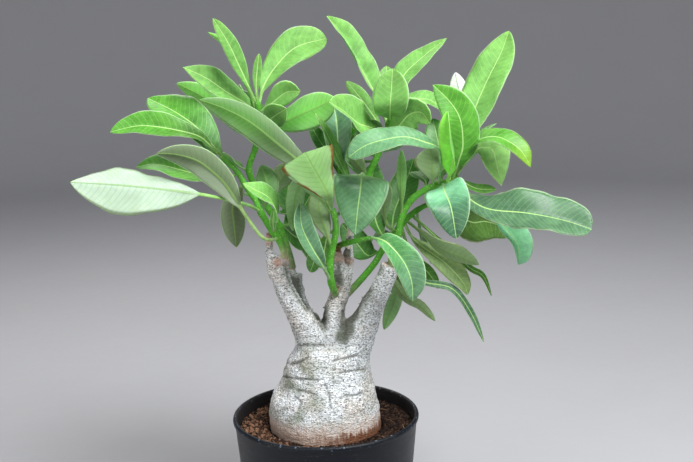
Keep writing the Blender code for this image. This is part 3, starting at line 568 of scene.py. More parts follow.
class PlantColours(bpy.types.PropertyGroup):
    """Colours of the plant, its soil and its pot."""

    lime: colour_setting("Lime", "Upper side of the young top leaves", (0.17, 0.43, 0.088))
    lime_under: colour_setting("Lime underside", "Underside of the young top leaves", (0.17, 0.50, 0.085))
    grass: colour_setting("Grass", "Upper side of the outer left leaves", (0.078, 0.33, 0.02))
    fresh: colour_setting("Fresh", "Upper side of the full-grown leaves", (0.08, 0.265, 0.028))
    fresh_under: colour_setting("Fresh underside", "Underside of the full-grown leaves", (0.145, 0.37, 0.082))
    deep: colour_setting("Deep", "Upper side of the shaded leaves", (0.078, 0.27, 0.05))
    deep_under: colour_setting("Deep underside", "Underside of the shaded leaves", (0.10, 0.24, 0.06))
    blue: colour_setting("Bluish", "Upper side of the old glossy leaves", (0.11, 0.255, 0.143))
    teal: colour_setting("Teal", "Upper side of the long right leaves", (0.075, 0.178, 0.1))
    fern: colour_setting("Fern", "Foot of the big upper left leaf's underside", (0.08, 0.13, 0.052))
    verdant_under: colour_setting("Verdant underside", "Tip of that underside", (0.07, 0.21, 0.03))
    # Painted light: the brighter tip of the drooping right leaf
    painted_lit_tip: colour_setting("Glaze", "Lit tip of the drooping right leaf", (0.36, 0.86, 0.50))
    aqua: colour_setting("Aqua", "Upper side of the wide centre leaves", (0.13, 0.32, 0.155))
    mint: colour_setting("Mint", "Upper side of old leaves that catch the sky", (0.165, 0.43, 0.23))
    dull: colour_setting("Dull", "Upper side of the lowest leaves", (0.235, 0.36, 0.13))
    sage: colour_setting("Sage", "Grey-green undersides", (0.20, 0.38, 0.14))
    olive: colour_setting("Olive", "Dull undersides", (0.23, 0.355, 0.15))
    slate: colour_setting("Slate", "Upper side of old leaves in shade", (0.035, 0.13, 0.075))
    frost: colour_setting("Frost", "Upper side of drooping old leaves", (0.20, 0.54, 0.31))
    jade: colour_setting("Jade", "Upper side of the front hanging leaf", (0.092, 0.325, 0.102))
    soft: colour_setting("Soft", "Upper side of thin hanging leaves", (0.35, 0.68, 0.20))
    sunlit: colour_setting("Sunlit", "Upper side of the brightest young leaves", (0.34, 0.95, 0.10))
    field: colour_setting("Field", "Upper side of the low outer leaves", (0.088, 0.21, 0.03))
    ash: colour_setting("Ash", "Underside of the greyest leaves", (0.09, 0.13, 0.06))
    celadon: colour_setting("Celadon", "Underside of the browned leaf", (0.2, 0.38, 0.12))
    # Silver is the bloom towards an underside's edge, and also painted light on one half of grey undersides
    silver_and_painted_light: colour_setting("Silver", "Bloom of the undersides towards the edge", (0.40, 0.50, 0.34))
    pale_shade: colour_setting("Pale shade", "Shaded half of the whitish undersides", (0.44, 0.565, 0.43))
    # Pale is painted glare: the white of a pale leaf's lit half and of the white tone's underside
    pale: colour_setting("Pale", "Nearly white undersides", (0.94, 0.97, 0.92))
    # Rim is a painted highlight along a leaf's edge
    rim: colour_setting("Rim", "Thin bright edge of a leaf", (0.62, 0.88, 0.50))
    rib_under: colour_setting("Midrib underside", "Midrib on the underside", (0.17, 0.30, 0.075))
    dusk: colour_setting("Dusk", "Underside of grey-brown leaves", (0.125, 0.165, 0.085))
    midrib: colour_setting("Midrib", "Midrib on the upper side", (0.46, 0.70, 0.25))
    stem: colour_setting("Stem", "Skin of the green stems", (0.1, 0.39, 0.033))
    stem_old: colour_setting("Old stem", "Skin of a stem's woody foot", (0.22, 0.26, 0.14))
    bark: colour_setting("Bark", "Silvery skin of the trunk", (0.87, 0.92, 0.97))
    bark_warm: colour_setting("Warm bark", "Pinkish patches of the trunk", (0.70, 0.61, 0.54))
    # Speckles also paint the shade in the creases
    specks_and_crease_shade: colour_setting("Speckles", "Dark specks and creases of the bark", (0.07, 0.075, 0.055))
    # Moss also paints the shade on the left, in the folds and on the flanks
    moss_and_shade: colour_setting("Moss", "Green-grey film in the bark", (0.17, 0.20, 0.13))
    stain: colour_setting("Stain", "Stain of the trunk at the soil", (0.17, 0.065, 0.03))
    stain_warm: colour_setting("Warm band", "Beige bark just above the stain", (0.8, 0.68, 0.61))
    stain_pale: colour_setting("Pale stain", "Paler parts of the stain", (0.56, 0.42, 0.34))
    # Branch skin is tan, and partly painted shade under the foliage
    branch_tan_and_shade: colour_setting("Branch skin", "Duller skin of the branches", (0.50, 0.50, 0.46))
    bark_dim: colour_setting("Dim bark", "Grey blotches of the trunk's skin", (0.30, 0.30, 0.27))
    # Painted shade of the bark in the forks and deep folds
    cranny_shade: colour_setting("Crannies", "Bark in the forks and deep folds", (0.12, 0.11, 0.09))
    collar_pale: colour_setting("Pale collars", "Pinkish skin round the cut tips", (0.64, 0.46, 0.38))
    collar: colour_setting("Collars", "Young bark at the cut tips", (0.33, 0.155, 0.095))
    soil_light: colour_setting("Light soil", "Reddish granules", (0.115, 0.057, 0.036))
    soil_dark: colour_setting("Dark soil", "Moist granules", (0.011, 0.006, 0.0045))
    gap_shade: colour_setting("Soil gaps", "Shaded gaps between the granules", (0.006, 0.0035, 0.0025))
    straw: colour_setting("Straw", "Bits of straw", (0.19, 0.12, 0.06))
    pot: colour_setting("Pot", "Matte plastic of the pot", (0.0025, 0.0042, 0.0078))
    dust: colour_setting("Dust", "Dust on the pot", (0.12, 0.10, 0.085))
    # Painted highlight: bright glints on the pot's lip
    lip_glint: colour_setting("Lip wear", "Bright worn spots of the pot's lip", (0.16, 0.21, 0.27))
    floor: colour_setting("Floor", "Floor and backdrop", (0.40, 0.395, 0.41))


class StudioSettings(bpy.types.PropertyGroup):
    """Strengths of the studio's lights."""

    key: power_setting("Key light", "Large light above", 49)
    fill: power_setting("Fill light", "Soft light at the viewer's side", 12)
    back: power_setting("Back light", "Light through the top leaves", 8)
    sky: share_setting("Surrounding light", "Strength of the even light", 0.34)


def sizes():
    return bpy.context.scene.plant_sizes


def colours():
    return bpy.context.scene.plant_colours


# Nodes


def is_socket(value):
    return isinstance(value, bpy.types.NodeSocket)


def node(tree, kind, inputs=None, **settings):
    """A node with its settings, and its inputs by name or number, each a value or a socket to link."""
    made = tree.nodes.new(kind)
    for name, value in settings.items():
        setattr(made, name, value)
    for name, value in (inputs or {}).items():
        if is_socket(value):
            tree.links.new(value, made.inputs[name])
        else:
            made.inputs[name].default_value = value
    return made


def maths(tree, operation, *values, clamp=False):
    inputs = dict(enumerate(values))
    return node(tree, "ShaderNodeMath", inputs, operation=operation, use_clamp=clamp).outputs[0]


def times(tree, first, second):
    return maths(tree, "MULTIPLY", first, second)


def scaled(tree, value, factor, offset, clamp=False):
    """value * factor + offset."""
    return maths(tree, "MULTIPLY_ADD", value, factor, offset, clamp=clamp)


def size_of(tree, value):
    return maths(tree, "ABSOLUTE", value)


def summed(tree, terms, total=0.0):
    """The total with each (value, factor) added to it."""
    for value, factor in terms:
        total = scaled(tree, value, factor, total)
    return total


def vector_maths(tree, operation, first, second):
    """SCALE takes a number as its second value, and the others a vector."""
    other = "Scale" if operation == "SCALE" else 1
    return node(tree, "ShaderNodeVectorMath", {0: first, other: second}, operation=operation).outputs[0]


def parts(tree, vector):
    return node(tree, "ShaderNodeSeparateXYZ", {0: vector}).outputs


def from_axis(tree, point):
    """A point's distance from the pot's axis."""
    flat = vector_maths(tree, "MULTIPLY", point, (1, 1, 0))
    return node(tree, "ShaderNodeVectorMath", {0: flat}, operation="LENGTH").outputs["Value"]


def spread(tree, value, low, high, to_low=0.0, to_high=1.0, kind="SMOOTHSTEP"):
    """The value taken from low..high to to_low..to_high, smoothly unless kind is LINEAR."""
    inputs = {0: value, 1: low, 2: high, 3: to_low, 4: to_high}
    return node(tree, "ShaderNodeMapRange", inputs, interpolation_type=kind).outputs[0]


def mixed(tree, factor, first, second):
    """The first colour where the factor is 0, and the second where it is 1."""
    first, second = (value if is_socket(value) else (*value[:3], 1) for value in (first, second))
    return node(tree, "ShaderNodeMix", {0: factor, 6: first, 7: second}, data_type="RGBA").outputs[2]


def layered(tree, base, layers):
    """The base colour with (mask, strength, colour) layers laid over it in turn."""
    for mask, strength, colour in layers:
        base = mixed(tree, times(tree, mask, strength), base, colour)
    return base


def node_tree(name, kind, inputs, outputs):
    """An empty tree with named inputs and outputs, each (name, socket type, default)."""
    tree = bpy.data.node_groups.new(name, kind)
    for in_out, sockets in (("INPUT", inputs), ("OUTPUT", outputs)):
        for label, socket_type, default in sockets:
            made = tree.interface.new_socket(label, in_out=in_out, socket_type="NodeSocket" + socket_type)
            if default is not None:
                made.default_value = default
    return tree, tree.nodes.new("NodeGroupInput").outputs, tree.nodes.new("NodeGroupOutput").inputs


def clouds(tree, vector, scale, detail=2.0, roughness=0.5):
    """Soft noise from 0 to 1."""
    inputs = {"Vector": vector, "Scale": scale, "Detail": detail, "Roughness": roughness}
    return node(tree, "ShaderNodeTexNoise", inputs).outputs[0]


def pressed(tree, vector, share):
    """The vector with its height multiplied, so that a texture on it is flatter where the share is over 1."""
    return node(tree, "ShaderNodeMapping", {"Vector": vector, "Scale": (1.0, 1.0, share)}).outputs[0]


def grain_group():
    """Fine grain at one scale: a height for bump, and a soft mottle a few times coarser for colour."""
    if "Grain" in bpy.data.node_groups:
        return bpy.data.node_groups["Grain"]
    tree, given, made = node_tree(
        "Grain", "ShaderNodeTree",
        [("Vector", "Vector", None), ("Scale", "Float", 500.0), ("Roughness", "Float", 0.6)],
        [("Height", "Float", None), ("Mottle", "Float", None)])
    fine = clouds(tree, given["Vector"], given["Scale"], 3, given["Roughness"])
    soft = node(tree, "ShaderNodeTexNoise", {
        "Vector": given["Vector"], "Scale": times(tree, given["Scale"], 0.11), "Detail": 4,
        "Roughness": 0.65, "Distortion": 0.4})
    tree.links.new(fine, made["Height"])
    tree.links.new(soft.outputs[0], made["Mottle"])
    return tree


def specks_group():
    """Small scattered specks: 1 on a speck and 0 elsewhere, more of them as Amount grows."""
    if "Specks" in bpy.data.node_groups:
        return bpy.data.node_groups["Specks"]
    tree, given, made = node_tree(
        "Specks", "ShaderNodeTree",
        [("Vector", "Vector", None), ("Scale", "Float", 500.0), ("Amount", "Float", 0.3)],
        [("Mask", "Float", None)])
    cells = node(tree, "ShaderNodeTexVoronoi", {"Vector": given["Vector"], "Scale": given["Scale"]})
    lot = node(tree, "ShaderNodeSeparateColor", {0: cells.outputs["Color"]}).outputs[0]
    near = spread(tree, cells.outputs["Distance"], 0.2, 0.42, 1.0, 0.0)
    picked = maths(tree, "LESS_THAN", lot, given["Amount"])
    tree.links.new(times(tree, near, picked), made["Mask"])
    return tree


def grain_at(tree, vector, scale, roughness=0.6):
    """The outputs of the grain group: Height and Mottle."""
    inputs = {"Vector": vector, "Scale": scale, "Roughness": roughness}
    return node(tree, "ShaderNodeGroup", inputs, node_tree=grain_group()).outputs


def specks_at(tree, vector, scale, amount):
    inputs = {"Vector": vector, "Scale": scale, "Amount": amount}
    return node(tree, "ShaderNodeGroup", inputs, node_tree=specks_group()).outputs["Mask"]


def new_material(name, **constants):
    """A material with its tree and Principled shader. Constants are set on the shader's own sockets."""
    made = bpy.data.materials.new(name)
    made.use_nodes = True
    shader = made.node_tree.nodes["Principled BSDF"]
    for key, value in constants.items():
        shader.inputs[key.replace("_", " ")].default_value = value
    return made, made.node_tree, shader


def object_space(tree):
    return node(tree, "ShaderNodeTexCoord").outputs["Object"]


def attribute(tree, name, output="Vector"):
    return node(tree, "ShaderNodeAttribute", attribute_name=name).outputs[output]


def surfaced(tree, shader, base, roughness, relief=None, depth=0.0):
    """Links a material's colour, roughness and bump. A relief of 1 stands out by the depth."""
    tree.links.new(base, shader.inputs["Base Color"])
    tree.links.new(roughness, shader.inputs["Roughness"])
    if relief is not None:
        bump = node(tree, "ShaderNodeBump", {"Height": relief, "Distance": depth}).outputs[0]
        tree.links.new(bump, shader.inputs["Normal"])


# Node trees that make meshes


def joined(tree, x, y, z=0.0):
    return node(tree, "ShaderNodeCombineXYZ", {0: x, 1: y, 2: z}).outputs[0]


def position(tree):
    return node(tree, "GeometryNodeInputPosition").outputs[0]


def normal_of(tree):
    return node(tree, "GeometryNodeInputNormal").outputs[0]


def random_value(tree, seed, low, high):
    """A random number for each point, or a random vector where the limits are vectors."""
    kind, first, out = ("FLOAT_VECTOR", 0, 0) if isinstance(low, tuple) else ("FLOAT", 2, 1)
    inputs = {"Seed": seed, first: low, first + 1: high}
    return node(tree, "FunctionNodeRandomValue", inputs, data_type=kind).outputs[out]


def stored(tree, geometry, name, value, kind="FLOAT", domain="POINT"):
    """The geometry with the value kept on it as a named attribute."""
    inputs = {"Geometry": geometry, "Name": name, "Value": value}
    return node(tree, "GeometryNodeStoreNamedAttribute", inputs, data_type=kind, domain=domain).outputs[0]


def swept(tree, curve, profile):
    inputs = {"Curve": curve, "Profile Curve": profile, "Fill Caps": True}
    return node(tree, "GeometryNodeCurveToMesh", inputs).outputs[0]


def scattered(tree, surface, seed, spacing, density, chosen, by="Selection"):
    """Points on the surface where it is chosen, none nearer to another than the spacing."""
    inputs = {"Mesh": surface, "Seed": seed, "Distance Min": spacing, "Density Max": density, by: chosen}
    return node(tree, "GeometryNodeDistributePointsOnFaces", inputs, distribute_method="POISSON").outputs


def instanced(tree, points, instance, turn, grow):
    inputs = {"Points": points, "Instance": instance, "Rotation": turn, "Scale": grow}
    return node(tree, "GeometryNodeInstanceOnPoints", inputs).outputs[0]


def handed_out(tree, made, geometry, skin):
    """Makes the geometry the tree's result, as real mesh in its material."""
    solid = node(tree, "GeometryNodeRealizeInstances", {"Geometry": geometry}).outputs[0]
    dressed = node(tree, "GeometryNodeSetMaterial", {"Geometry": solid, "Material": skin}).outputs[0]
    tree.links.new(dressed, made["Geometry"])


# Materials


def leaf_material():
    """Leaf and stem skin from the blade's own attributes: pale midrib, side veins, mottle, a painted
    highlight along the rim and painted light on one half of some undersides.
    """
    palette = colours()
    made, tree, shader = new_material("leaf_skin", Subsurface_Scale=0.002, Subsurface_Weight=0.25,
                                      Specular_IOR_Level=0.26)
    shader.inputs["Subsurface Radius"].default_value = (0.6, 1.0, 0.15)
    across, along, side = parts(tree, attribute(tree, "blade"))
    from_rib, reach, stem_part = parts(tree, attribute(tree, "measure"))
    gloss, browning, yellowing = parts(tree, attribute(tree, "wear"))
    lamina = maths(tree, "SUBTRACT", 1.0, stem_part, clamp=True)
    out, edge = size_of(tree, from_rib), size_of(tree, across)
    under = spread(tree, side, -0.35, 0.35, 1.0, 0.0)
    where = object_space(tree)
    grain = grain_at(tree, where, 900.0)
    mottle = grain["Mottle"]

    def on_blade(value, low, high):
        """1 below low and 0 above high, on the blade only."""
        return times(tree, spread(tree, value, low, high, 1.0, 0.0), lamina)

    # Side veins run out from the midrib and bend towards the tip
    bend = scaled(tree, maths(tree, "POWER", out, 1.35), -3.4, reach)
    turns = times(tree, scaled(tree, mottle, VEIN_WANDER, bend), 1 / VEIN_SPACING)
    crest = size_of(tree, maths(tree, "SUBTRACT", maths(tree, "FRACT", turns), 0.5))
    vein = on_blade(crest, 0.02, 0.16)
    cells = node(tree, "ShaderNodeTexVoronoi", {"Vector": where, "Scale": 950.0}, feature="DISTANCE_TO_EDGE")
    mesh_veins = on_blade(cells.outputs[0], 0.02, 0.14)
    rib_width = scaled(tree, along, RIB_TIP - RIB_FOOT, RIB_FOOT)
    rib_width = times(tree, scaled(tree, under, RIB_UNDER, 1.0), rib_width)
    rib = on_blade(maths(tree, "DIVIDE", out, rib_width), 0.55, 1.25)
    # A thin painted highlight along the blade's rim
    rim = times(tree, spread(tree, edge, 0.915, 0.97), lamina)
    # Colours of the two sides
    upper, lower = attribute(tree, "upper"), attribute(tree, "under")
    tint = spread(tree, mottle, 0.3, 0.7)
    top_side = mixed(tree, tint, mixed(tree, 0.34, upper, (0, 0.02, 0)),
                     mixed(tree, 0.06, upper, palette.midrib))
    top_side = layered(tree, top_side, [(vein, 0.12, palette.midrib), (mesh_veins, 0.06, palette.midrib)])
    edgeward = spread(tree, scaled(tree, mottle, 0.5, edge), 0.45, 1.25)
    # Painted glare: one half of a whitish underside is painted nearly white
    paleness = spread(tree, node(tree, "ShaderNodeRGBToBW", {0: lower}).outputs[0], 0.55, 0.7)
    glare_half = times(tree, paleness, spread(tree, across, HALF_FROM, HALF_TO))
    glare_half = times(tree, glare_half, spread(tree, scaled(tree, across, 0.1, along), 0.36, 0.42))
    # Painted light on one half of a grey underside: the attribute's sign picks the side of the midrib
    lit_side = attribute(tree, "lit_side", "Fac")
    lit = times(tree, spread(tree, times(tree, lit_side, across), 0.0, 0.16), size_of(tree, lit_side))
    low_side = layered(tree, lower, [
        (tint, 0.5, mixed(tree, 0.35, lower, (0.05, 0.12, 0.02))),
        (vein, 0.36, mixed(tree, 0.45, lower, (0, 0.03, 0))),
        (edgeward, 0.18, palette.silver_and_painted_light),
        (glare_half, 1.0, palette.pale),
        (lit, 1.0, palette.silver_and_painted_light),
    ])
    rib_tone = mixed(tree, under, palette.midrib, mixed(tree, 0.75, lower, palette.rib_under))
    brown = times(tree, browning, spread(tree, clouds(tree, where, 90.0), 0.34, 0.5))
    # The rim's painted highlight, real brown where the leaf is browned
    rim_highlight_and_brown = mixed(tree, brown, mixed(tree, 0.7, upper, palette.rim), BROWNED_RIM)
    brown_edge = times(tree, brown, spread(tree, scaled(tree, mottle, 0.3, edge), 0.97, 1.06))
    base = layered(tree, mixed(tree, under, top_side, low_side), [
        (rib, 0.85, rib_tone),
        (rim, 0.8, rim_highlight_and_brown),
        (times(tree, brown_edge, lamina), 1.0, BROWNED_EDGE),
        (times(tree, yellowing, spread(tree, along, 0.6, 1.0)), 0.45, YELLOWED_TIP),
    ])
    # Stems: lengthwise streaks and pale dots
    streak = spread(tree, clouds(tree, where, 260.0, 4, 0.7), 0.35, 0.65)
    dots = specks_at(tree, where, 620.0, 0.22)
    skin = mixed(tree, streak, mixed(tree, 0.35, upper, (0.01, 0.04, 0)), upper)
    skin = layered(tree, skin, [(dots, 0.5, palette.midrib)])
    base = mixed(tree, spread(tree, stem_part, 0.5, 0.95), base, skin)
    roughness = scaled(tree, mottle, 0.14, maths(tree, "SUBTRACT", gloss, 0.07))
    roughness = scaled(tree, under, 0.24, roughness)
    roughness = scaled(tree, stem_part, 0.10, roughness, clamp=True)
    # The veins are sunk into the upper side and stand out of the underside
    relief = summed(tree, [(rib, -0.9), (vein, -0.22), (mesh_veins, -0.07)])
    relief = times(tree, relief, scaled(tree, under, -2.0, 1.0))
    relief = summed(tree, [(grain["Height"], 0.25), (times(tree, dots, stem_part), 0.9)], relief)
    surfaced(tree, shader, base, roughness, relief, 0.22 * MM)
    return made


def bark_material():
    """Silvery bark with dark specks, green film, creases, reddish collars and a stain at the soil, with
    painted shade in the creases, forks and folds, on the branches and on the trunk's left side.
    """
    palette = colours()
    made, tree, shader = new_material("bark_skin", Specular_IOR_Level=0.35)
    where = object_space(tree)
    sideways, _, height = parts(tree, where)
    crease, collar, moss_and_shade = parts(tree, attribute(tree, "marks"))
    painted_fork_shade = attribute(tree, "painted_fork_shade", "Fac")
    wide = pressed(tree, where, 1.8)
    grain = grain_at(tree, wide, 640.0, 0.85)
    broad = clouds(tree, where, 38.0, 3, 0.6)
    blotch = clouds(tree, wide, 330.0, 3, 0.6)
    wrinkle = clouds(tree, pressed(tree, where, 3.4), 210.0, 5, 0.7)
    streaks = clouds(tree, pressed(tree, where, 0.22), 330.0, 4, 0.7)
    scales = node(tree, "ShaderNodeTexVoronoi", {"Vector": wide, "Scale": 520.0}).outputs
    patch = node(tree, "ShaderNodeSeparateColor", {0: scales["Color"]}).outputs[1]
    # More dark specks where the moss and painted shade lie
    amount = scaled(tree, moss_and_shade, 0.45, 0.24)
    dark = specks_at(tree, wide, 480.0, amount)
    larger = specks_at(tree, wide, 330.0, times(tree, amount, 0.5))
    # The film is moss, and painted shade in the folds, on the flanks and on the trunk's left
    film = times(tree, moss_and_shade, spread(tree, wrinkle, 0.4, 0.6, 0.4, 0.9))
    scar = mixed(tree, spread(tree, grain["Mottle"], 0.4, 0.62), palette.collar, palette.collar_pale)
    scarred = times(tree, collar, spread(tree, blotch, 0.35, 0.5, 0.25, 1.0))
    # The stain's edge runs in upright streaks, and it is deepest on the right
    band = scaled(tree, streaks, -0.02, height)
    line = scaled(tree, streaks, -0.024, scaled(tree, grain["Mottle"], -0.008, height))
    side = scaled(tree, sideways, 11.0, times(tree, streaks, 0.6))
    stained = times(tree, spread(tree, side, 0.16, 0.5, 0.25, 1.0), spread(tree, line, 0.1135, 0.1065))
    base = mixed(tree, spread(tree, broad, 0.42, 0.68), palette.bark, palette.bark_warm)
    base = layered(tree, base, [
        # The branches are tan and darker, partly painted shade under the foliage
        (spread(tree, height, 0.17, 0.22), 0.32, mixed(tree, broad, palette.branch_tan_and_shade, palette.bark_warm)),
        (patch, 0.75, BARK_FLAKES),
        (spread(tree, blotch, 0.50, 0.36), 0.45, palette.bark_dim),
        (spread(tree, grain["Height"], 0.53, 0.37), 0.9, palette.specks_and_crease_shade),
        (spread(tree, wrinkle, 0.46, 0.35), 0.5, palette.moss_and_shade),
        (dark, 0.95, palette.specks_and_crease_shade),
        (larger, 0.6, palette.moss_and_shade),
        (film, 1.0, palette.moss_and_shade),
        # Painted shade along the creases and on the flanks
        (crease, 0.9, palette.specks_and_crease_shade),
        # Painted shade in the forks and folds, where short rays from the bark meet more bark
        (painted_fork_shade, 0.9, palette.cranny_shade),
        (scarred, 1.0, scar),
        (spread(tree, band, 0.132, 0.112), 0.6, palette.stain_warm),
        (spread(tree, line, 0.121, 0.108), 0.9, palette.stain_pale),
        (stained, 1.0, palette.stain),
    ])
    relief = [(grain["Height"], 1.1), (wrinkle, 1.1), (scales["Distance"], 0.6), (dark, -0.4)]
    roughness = spread(tree, grain["Height"], 0.3, 0.7, 0.62, 0.86)
    surfaced(tree, shader, base, roughness, summed(tree, relief), 1.0 * MM)
    return made


def soil_material():
    """Moist reddish granules, redder on the left and darker on the right, with painted shade low on the
    granules and on the bed between them.
    """
    palette = colours()
    made, tree, shader = new_material("soil_grit", Specular_IOR_Level=0.14)
    where = object_space(tree)
    across, _, height = parts(tree, where)
    lot, seat, _ = parts(tree, attribute(tree, "grit"))
    rise = maths(tree, "SUBTRACT", height, seat)
    grain = grain_at(tree, where, 1900.0, 0.8)
    moist = scaled(tree, grain["Mottle"], 0.05, maths(tree, "SUBTRACT", across, 0.025))
    keen = spread(tree, lot, 0.2, 0.85)
    light, dark = palette.soil_light, palette.soil_dark
    dry = mixed(tree, keen, mixed(tree, 0.85, light, dark), mixed(tree, 0.55, light, DRIEST_SOIL))
    damp = mixed(tree, keen, dark, mixed(tree, 0.55, light, dark))
    base = layered(tree, mixed(tree, spread(tree, moist, -0.03, 0.045), dry, damp), [
        (spread(tree, grain["Height"], 0.5, 0.36), 0.75, dark),
        # Painted shade: granules darken towards their feet, and the bed beneath them takes the gap shade
        # whole
        (spread(tree, rise, 0.0007, -0.0004), 0.9, palette.gap_shade),
        (spread(tree, rise, 0.02, 0.04), 1.0, palette.gap_shade),
    ])
    roughness = spread(tree, grain["Height"], 0.3, 0.7, 0.95, 0.72)
    surfaced(tree, shader, base, roughness, grain["Height"], 0.9 * MM)
    return made


def straw_material():
    """Dry straw with a fine mottle."""
    palette = colours()
    made, tree, shader = new_material("straw_fibre", Specular_IOR_Level=0.3)
    grain = grain_at(tree, object_space(tree), 1400.0, 0.7)
    darker = mixed(tree, 0.6, palette.straw, palette.soil_light)
    base = mixed(tree, spread(tree, grain["Mottle"], 0.3, 0.7), palette.straw, darker)
    roughness = spread(tree, grain["Height"], 0.3, 0.7, 0.55, 0.85)
    surfaced(tree, shader, base, roughness, grain["Height"], 0.4 * MM)
    return made


def pot_material():
    """Matte black plastic with a moulded grain, scuffs, painted glints on the lip, and dust inside and at the
    foot.
    """
    palette = colours()
    made, tree, shader = new_material("pot_plastic_black", Specular_IOR_Level=0.24)
    where = object_space(tree)
    height = parts(tree, where)[2]
    grain = grain_at(tree, where, 1700.0, 0.55)
    scuffs = clouds(tree, pressed(tree, where, 7), 60.0, 6, 0.75)
    # Painted highlight: bright bluish glints in specks on the lip
    glinting = times(tree, specks_at(tree, where, 420.0, 0.4), spread(
        tree, height, POT_HEIGHT - LIP_HEIGHT, POT_HEIGHT - 1.2 * MM))
    slope = (RIM_RADIUS - LIP_OUT - FOOT_RADIUS) / POT_HEIGHT
    inside = maths(tree, "LESS_THAN", scaled(tree, height, -slope, from_axis(tree, where)),
                   FOOT_RADIUS - WALL / 2)
    low = scaled(tree, grain["Mottle"], -0.008, height)
    base = layered(tree, palette.pot, [
        (spread(tree, scuffs, 0.52, 0.78), 0.22, palette.dust),
        (specks_at(tree, where, 700.0, 0.03), 0.35, palette.dust),
        (glinting, spread(tree, scuffs, 0.4, 0.6, 0.1, 0.8), palette.lip_glint),
        (inside, 0.14, palette.dust),
        (spread(tree, low, 0.012, 0.0), 0.35, palette.dust),
    ])
    roughness = scaled(tree, grain["Height"], 0.12, scaled(tree, scuffs, 0.34, 0.16))
    surfaced(tree, shader, base, roughness, scaled(tree, scuffs, 0.6, grain["Height"]), 0.22 * MM)
    return made


def floor_material():
    """Plain pale floor with a faint mottle."""
    made, tree, shader = new_material("studio_floor", Specular_IOR_Level=0.2)
    grain = grain_at(tree, object_space(tree), 60.0)
    base = layered(tree, colours().floor, [(spread(tree, grain["Mottle"], 0.3, 0.7), 0.08, FLOOR_MOTTLE)])
    surfaced(tree, shader, base, spread(tree, grain["Height"], 0.3, 0.7, 0.75, 0.9))
    return made


# Meshes


def new_object(name, data, material=None):
    made = bpy.data.objects.new(name, data)
    bpy.context.scene.collection.objects.link(made)
    if material:
        data.materials.append(material)
    return made


def from_bmesh(name, mesh, material=None):
    data = bpy.data.meshes.new(name)
    mesh.to_mesh(data)
    mesh.free()
    return new_object(name, data, material)


def applied(target):
    """Replaces the object's mesh by its evaluated mesh, with no modifiers left."""
    bpy.context.view_layer.update()
    result = bpy.data.meshes.new_from_object(target.evaluated_get(bpy.context.evaluated_depsgraph_get()))
    target.modifiers.clear()
    target.data = result
    return target


def grown(target, tree, **inputs):
    """Runs a Geometry Nodes tree on the object and keeps its result as a plain mesh."""
    modifier = target.modifiers.new(tree.name, "NODES")
    modifier.node_group = tree
    sockets = {item.name: item for item in tree.interface.items_tree if item.in_out == "INPUT"}
    for name, value in inputs.items():
        modifier[sockets[name.replace("_", " ")].identifier] = value
    applied(target)
    if not target.data.polygons:
        raise RuntimeError(f"{target.name}: the tree {tree.name} made no faces")
    return target


def outwards(target):
    mesh = bmesh.new()
    mesh.from_mesh(target.data)
    bmesh.ops.recalc_face_normals(mesh, faces=mesh.faces)
    mesh.to_mesh(target.data)
    mesh.free()


def finished(target, node_name):
    """Says that a piece rides on the plant, and hides the model's node that it stands for."""
    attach(target, "root")
    if node_name:
        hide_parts(node_name)


def loft(mesh, loops):
    rows = [[mesh.verts.new(point) for point in loop] for loop in loops]
    faces = [mesh.faces.new(rows[0][::-1]), mesh.faces.new(rows[-1])]
    for low, high in zip(rows, rows[1:]):
        for k in range(len(low)):
            m = (k + 1) % len(low)
            faces.append(mesh.faces.new((low[k], low[m], high[m], high[k])))
    bmesh.ops.recalc_face_normals(mesh, faces=faces)


def tube(mesh, points, radii, sides):
    tangents = tangents_of(points)
    across = carried(tangents[0].orthogonal().normalized(), tangents, 0)
    loops = []
    for point, tangent, side, radius in zip(points, tangents, across, radii):
        other = tangent.cross(side)
        turns = [math.tau * k / sides for k in range(sides)]
        loops.append([point + radius * (math.cos(a) * side + math.sin(a) * other) for a in turns])
    loft(mesh, loops)


def circle(radius, height, sides):
    turns = [math.tau * k / sides for k in range(sides)]
    return [(radius * math.cos(turn), radius * math.sin(turn), height) for turn in turns]


def turned(name, profile, sides, material):
    """A body turned about Z from a closed profile of (radius, height) points. A radius of 0 is a pole."""
    mesh = bmesh.new()
    rows = []
    for radius, height in profile:
        if radius == 0:
            rows.append([mesh.verts.new((0, 0, height))] * sides)
        else:
            rows.append([mesh.verts.new(point) for point in circle(radius, height, sides)])
    for low, high in zip(rows, rows[1:] + rows[:1]):
        for k in range(sides):
            m = (k + 1) % sides
            corners = list(dict.fromkeys((low[k], low[m], high[m], high[k])))
            if len(corners) > 2:
                mesh.faces.new(corners)
    bmesh.ops.recalc_face_normals(mesh, faces=mesh.faces)
    return from_bmesh(name, mesh, material)


# Foliage

STATION_VECTORS = ("mid", "side_way", "up_way", "upper", "under", "wear")
STATION_NUMBERS = ("spread_half", "vee", "sway", "thick", "round", "along", "reach")


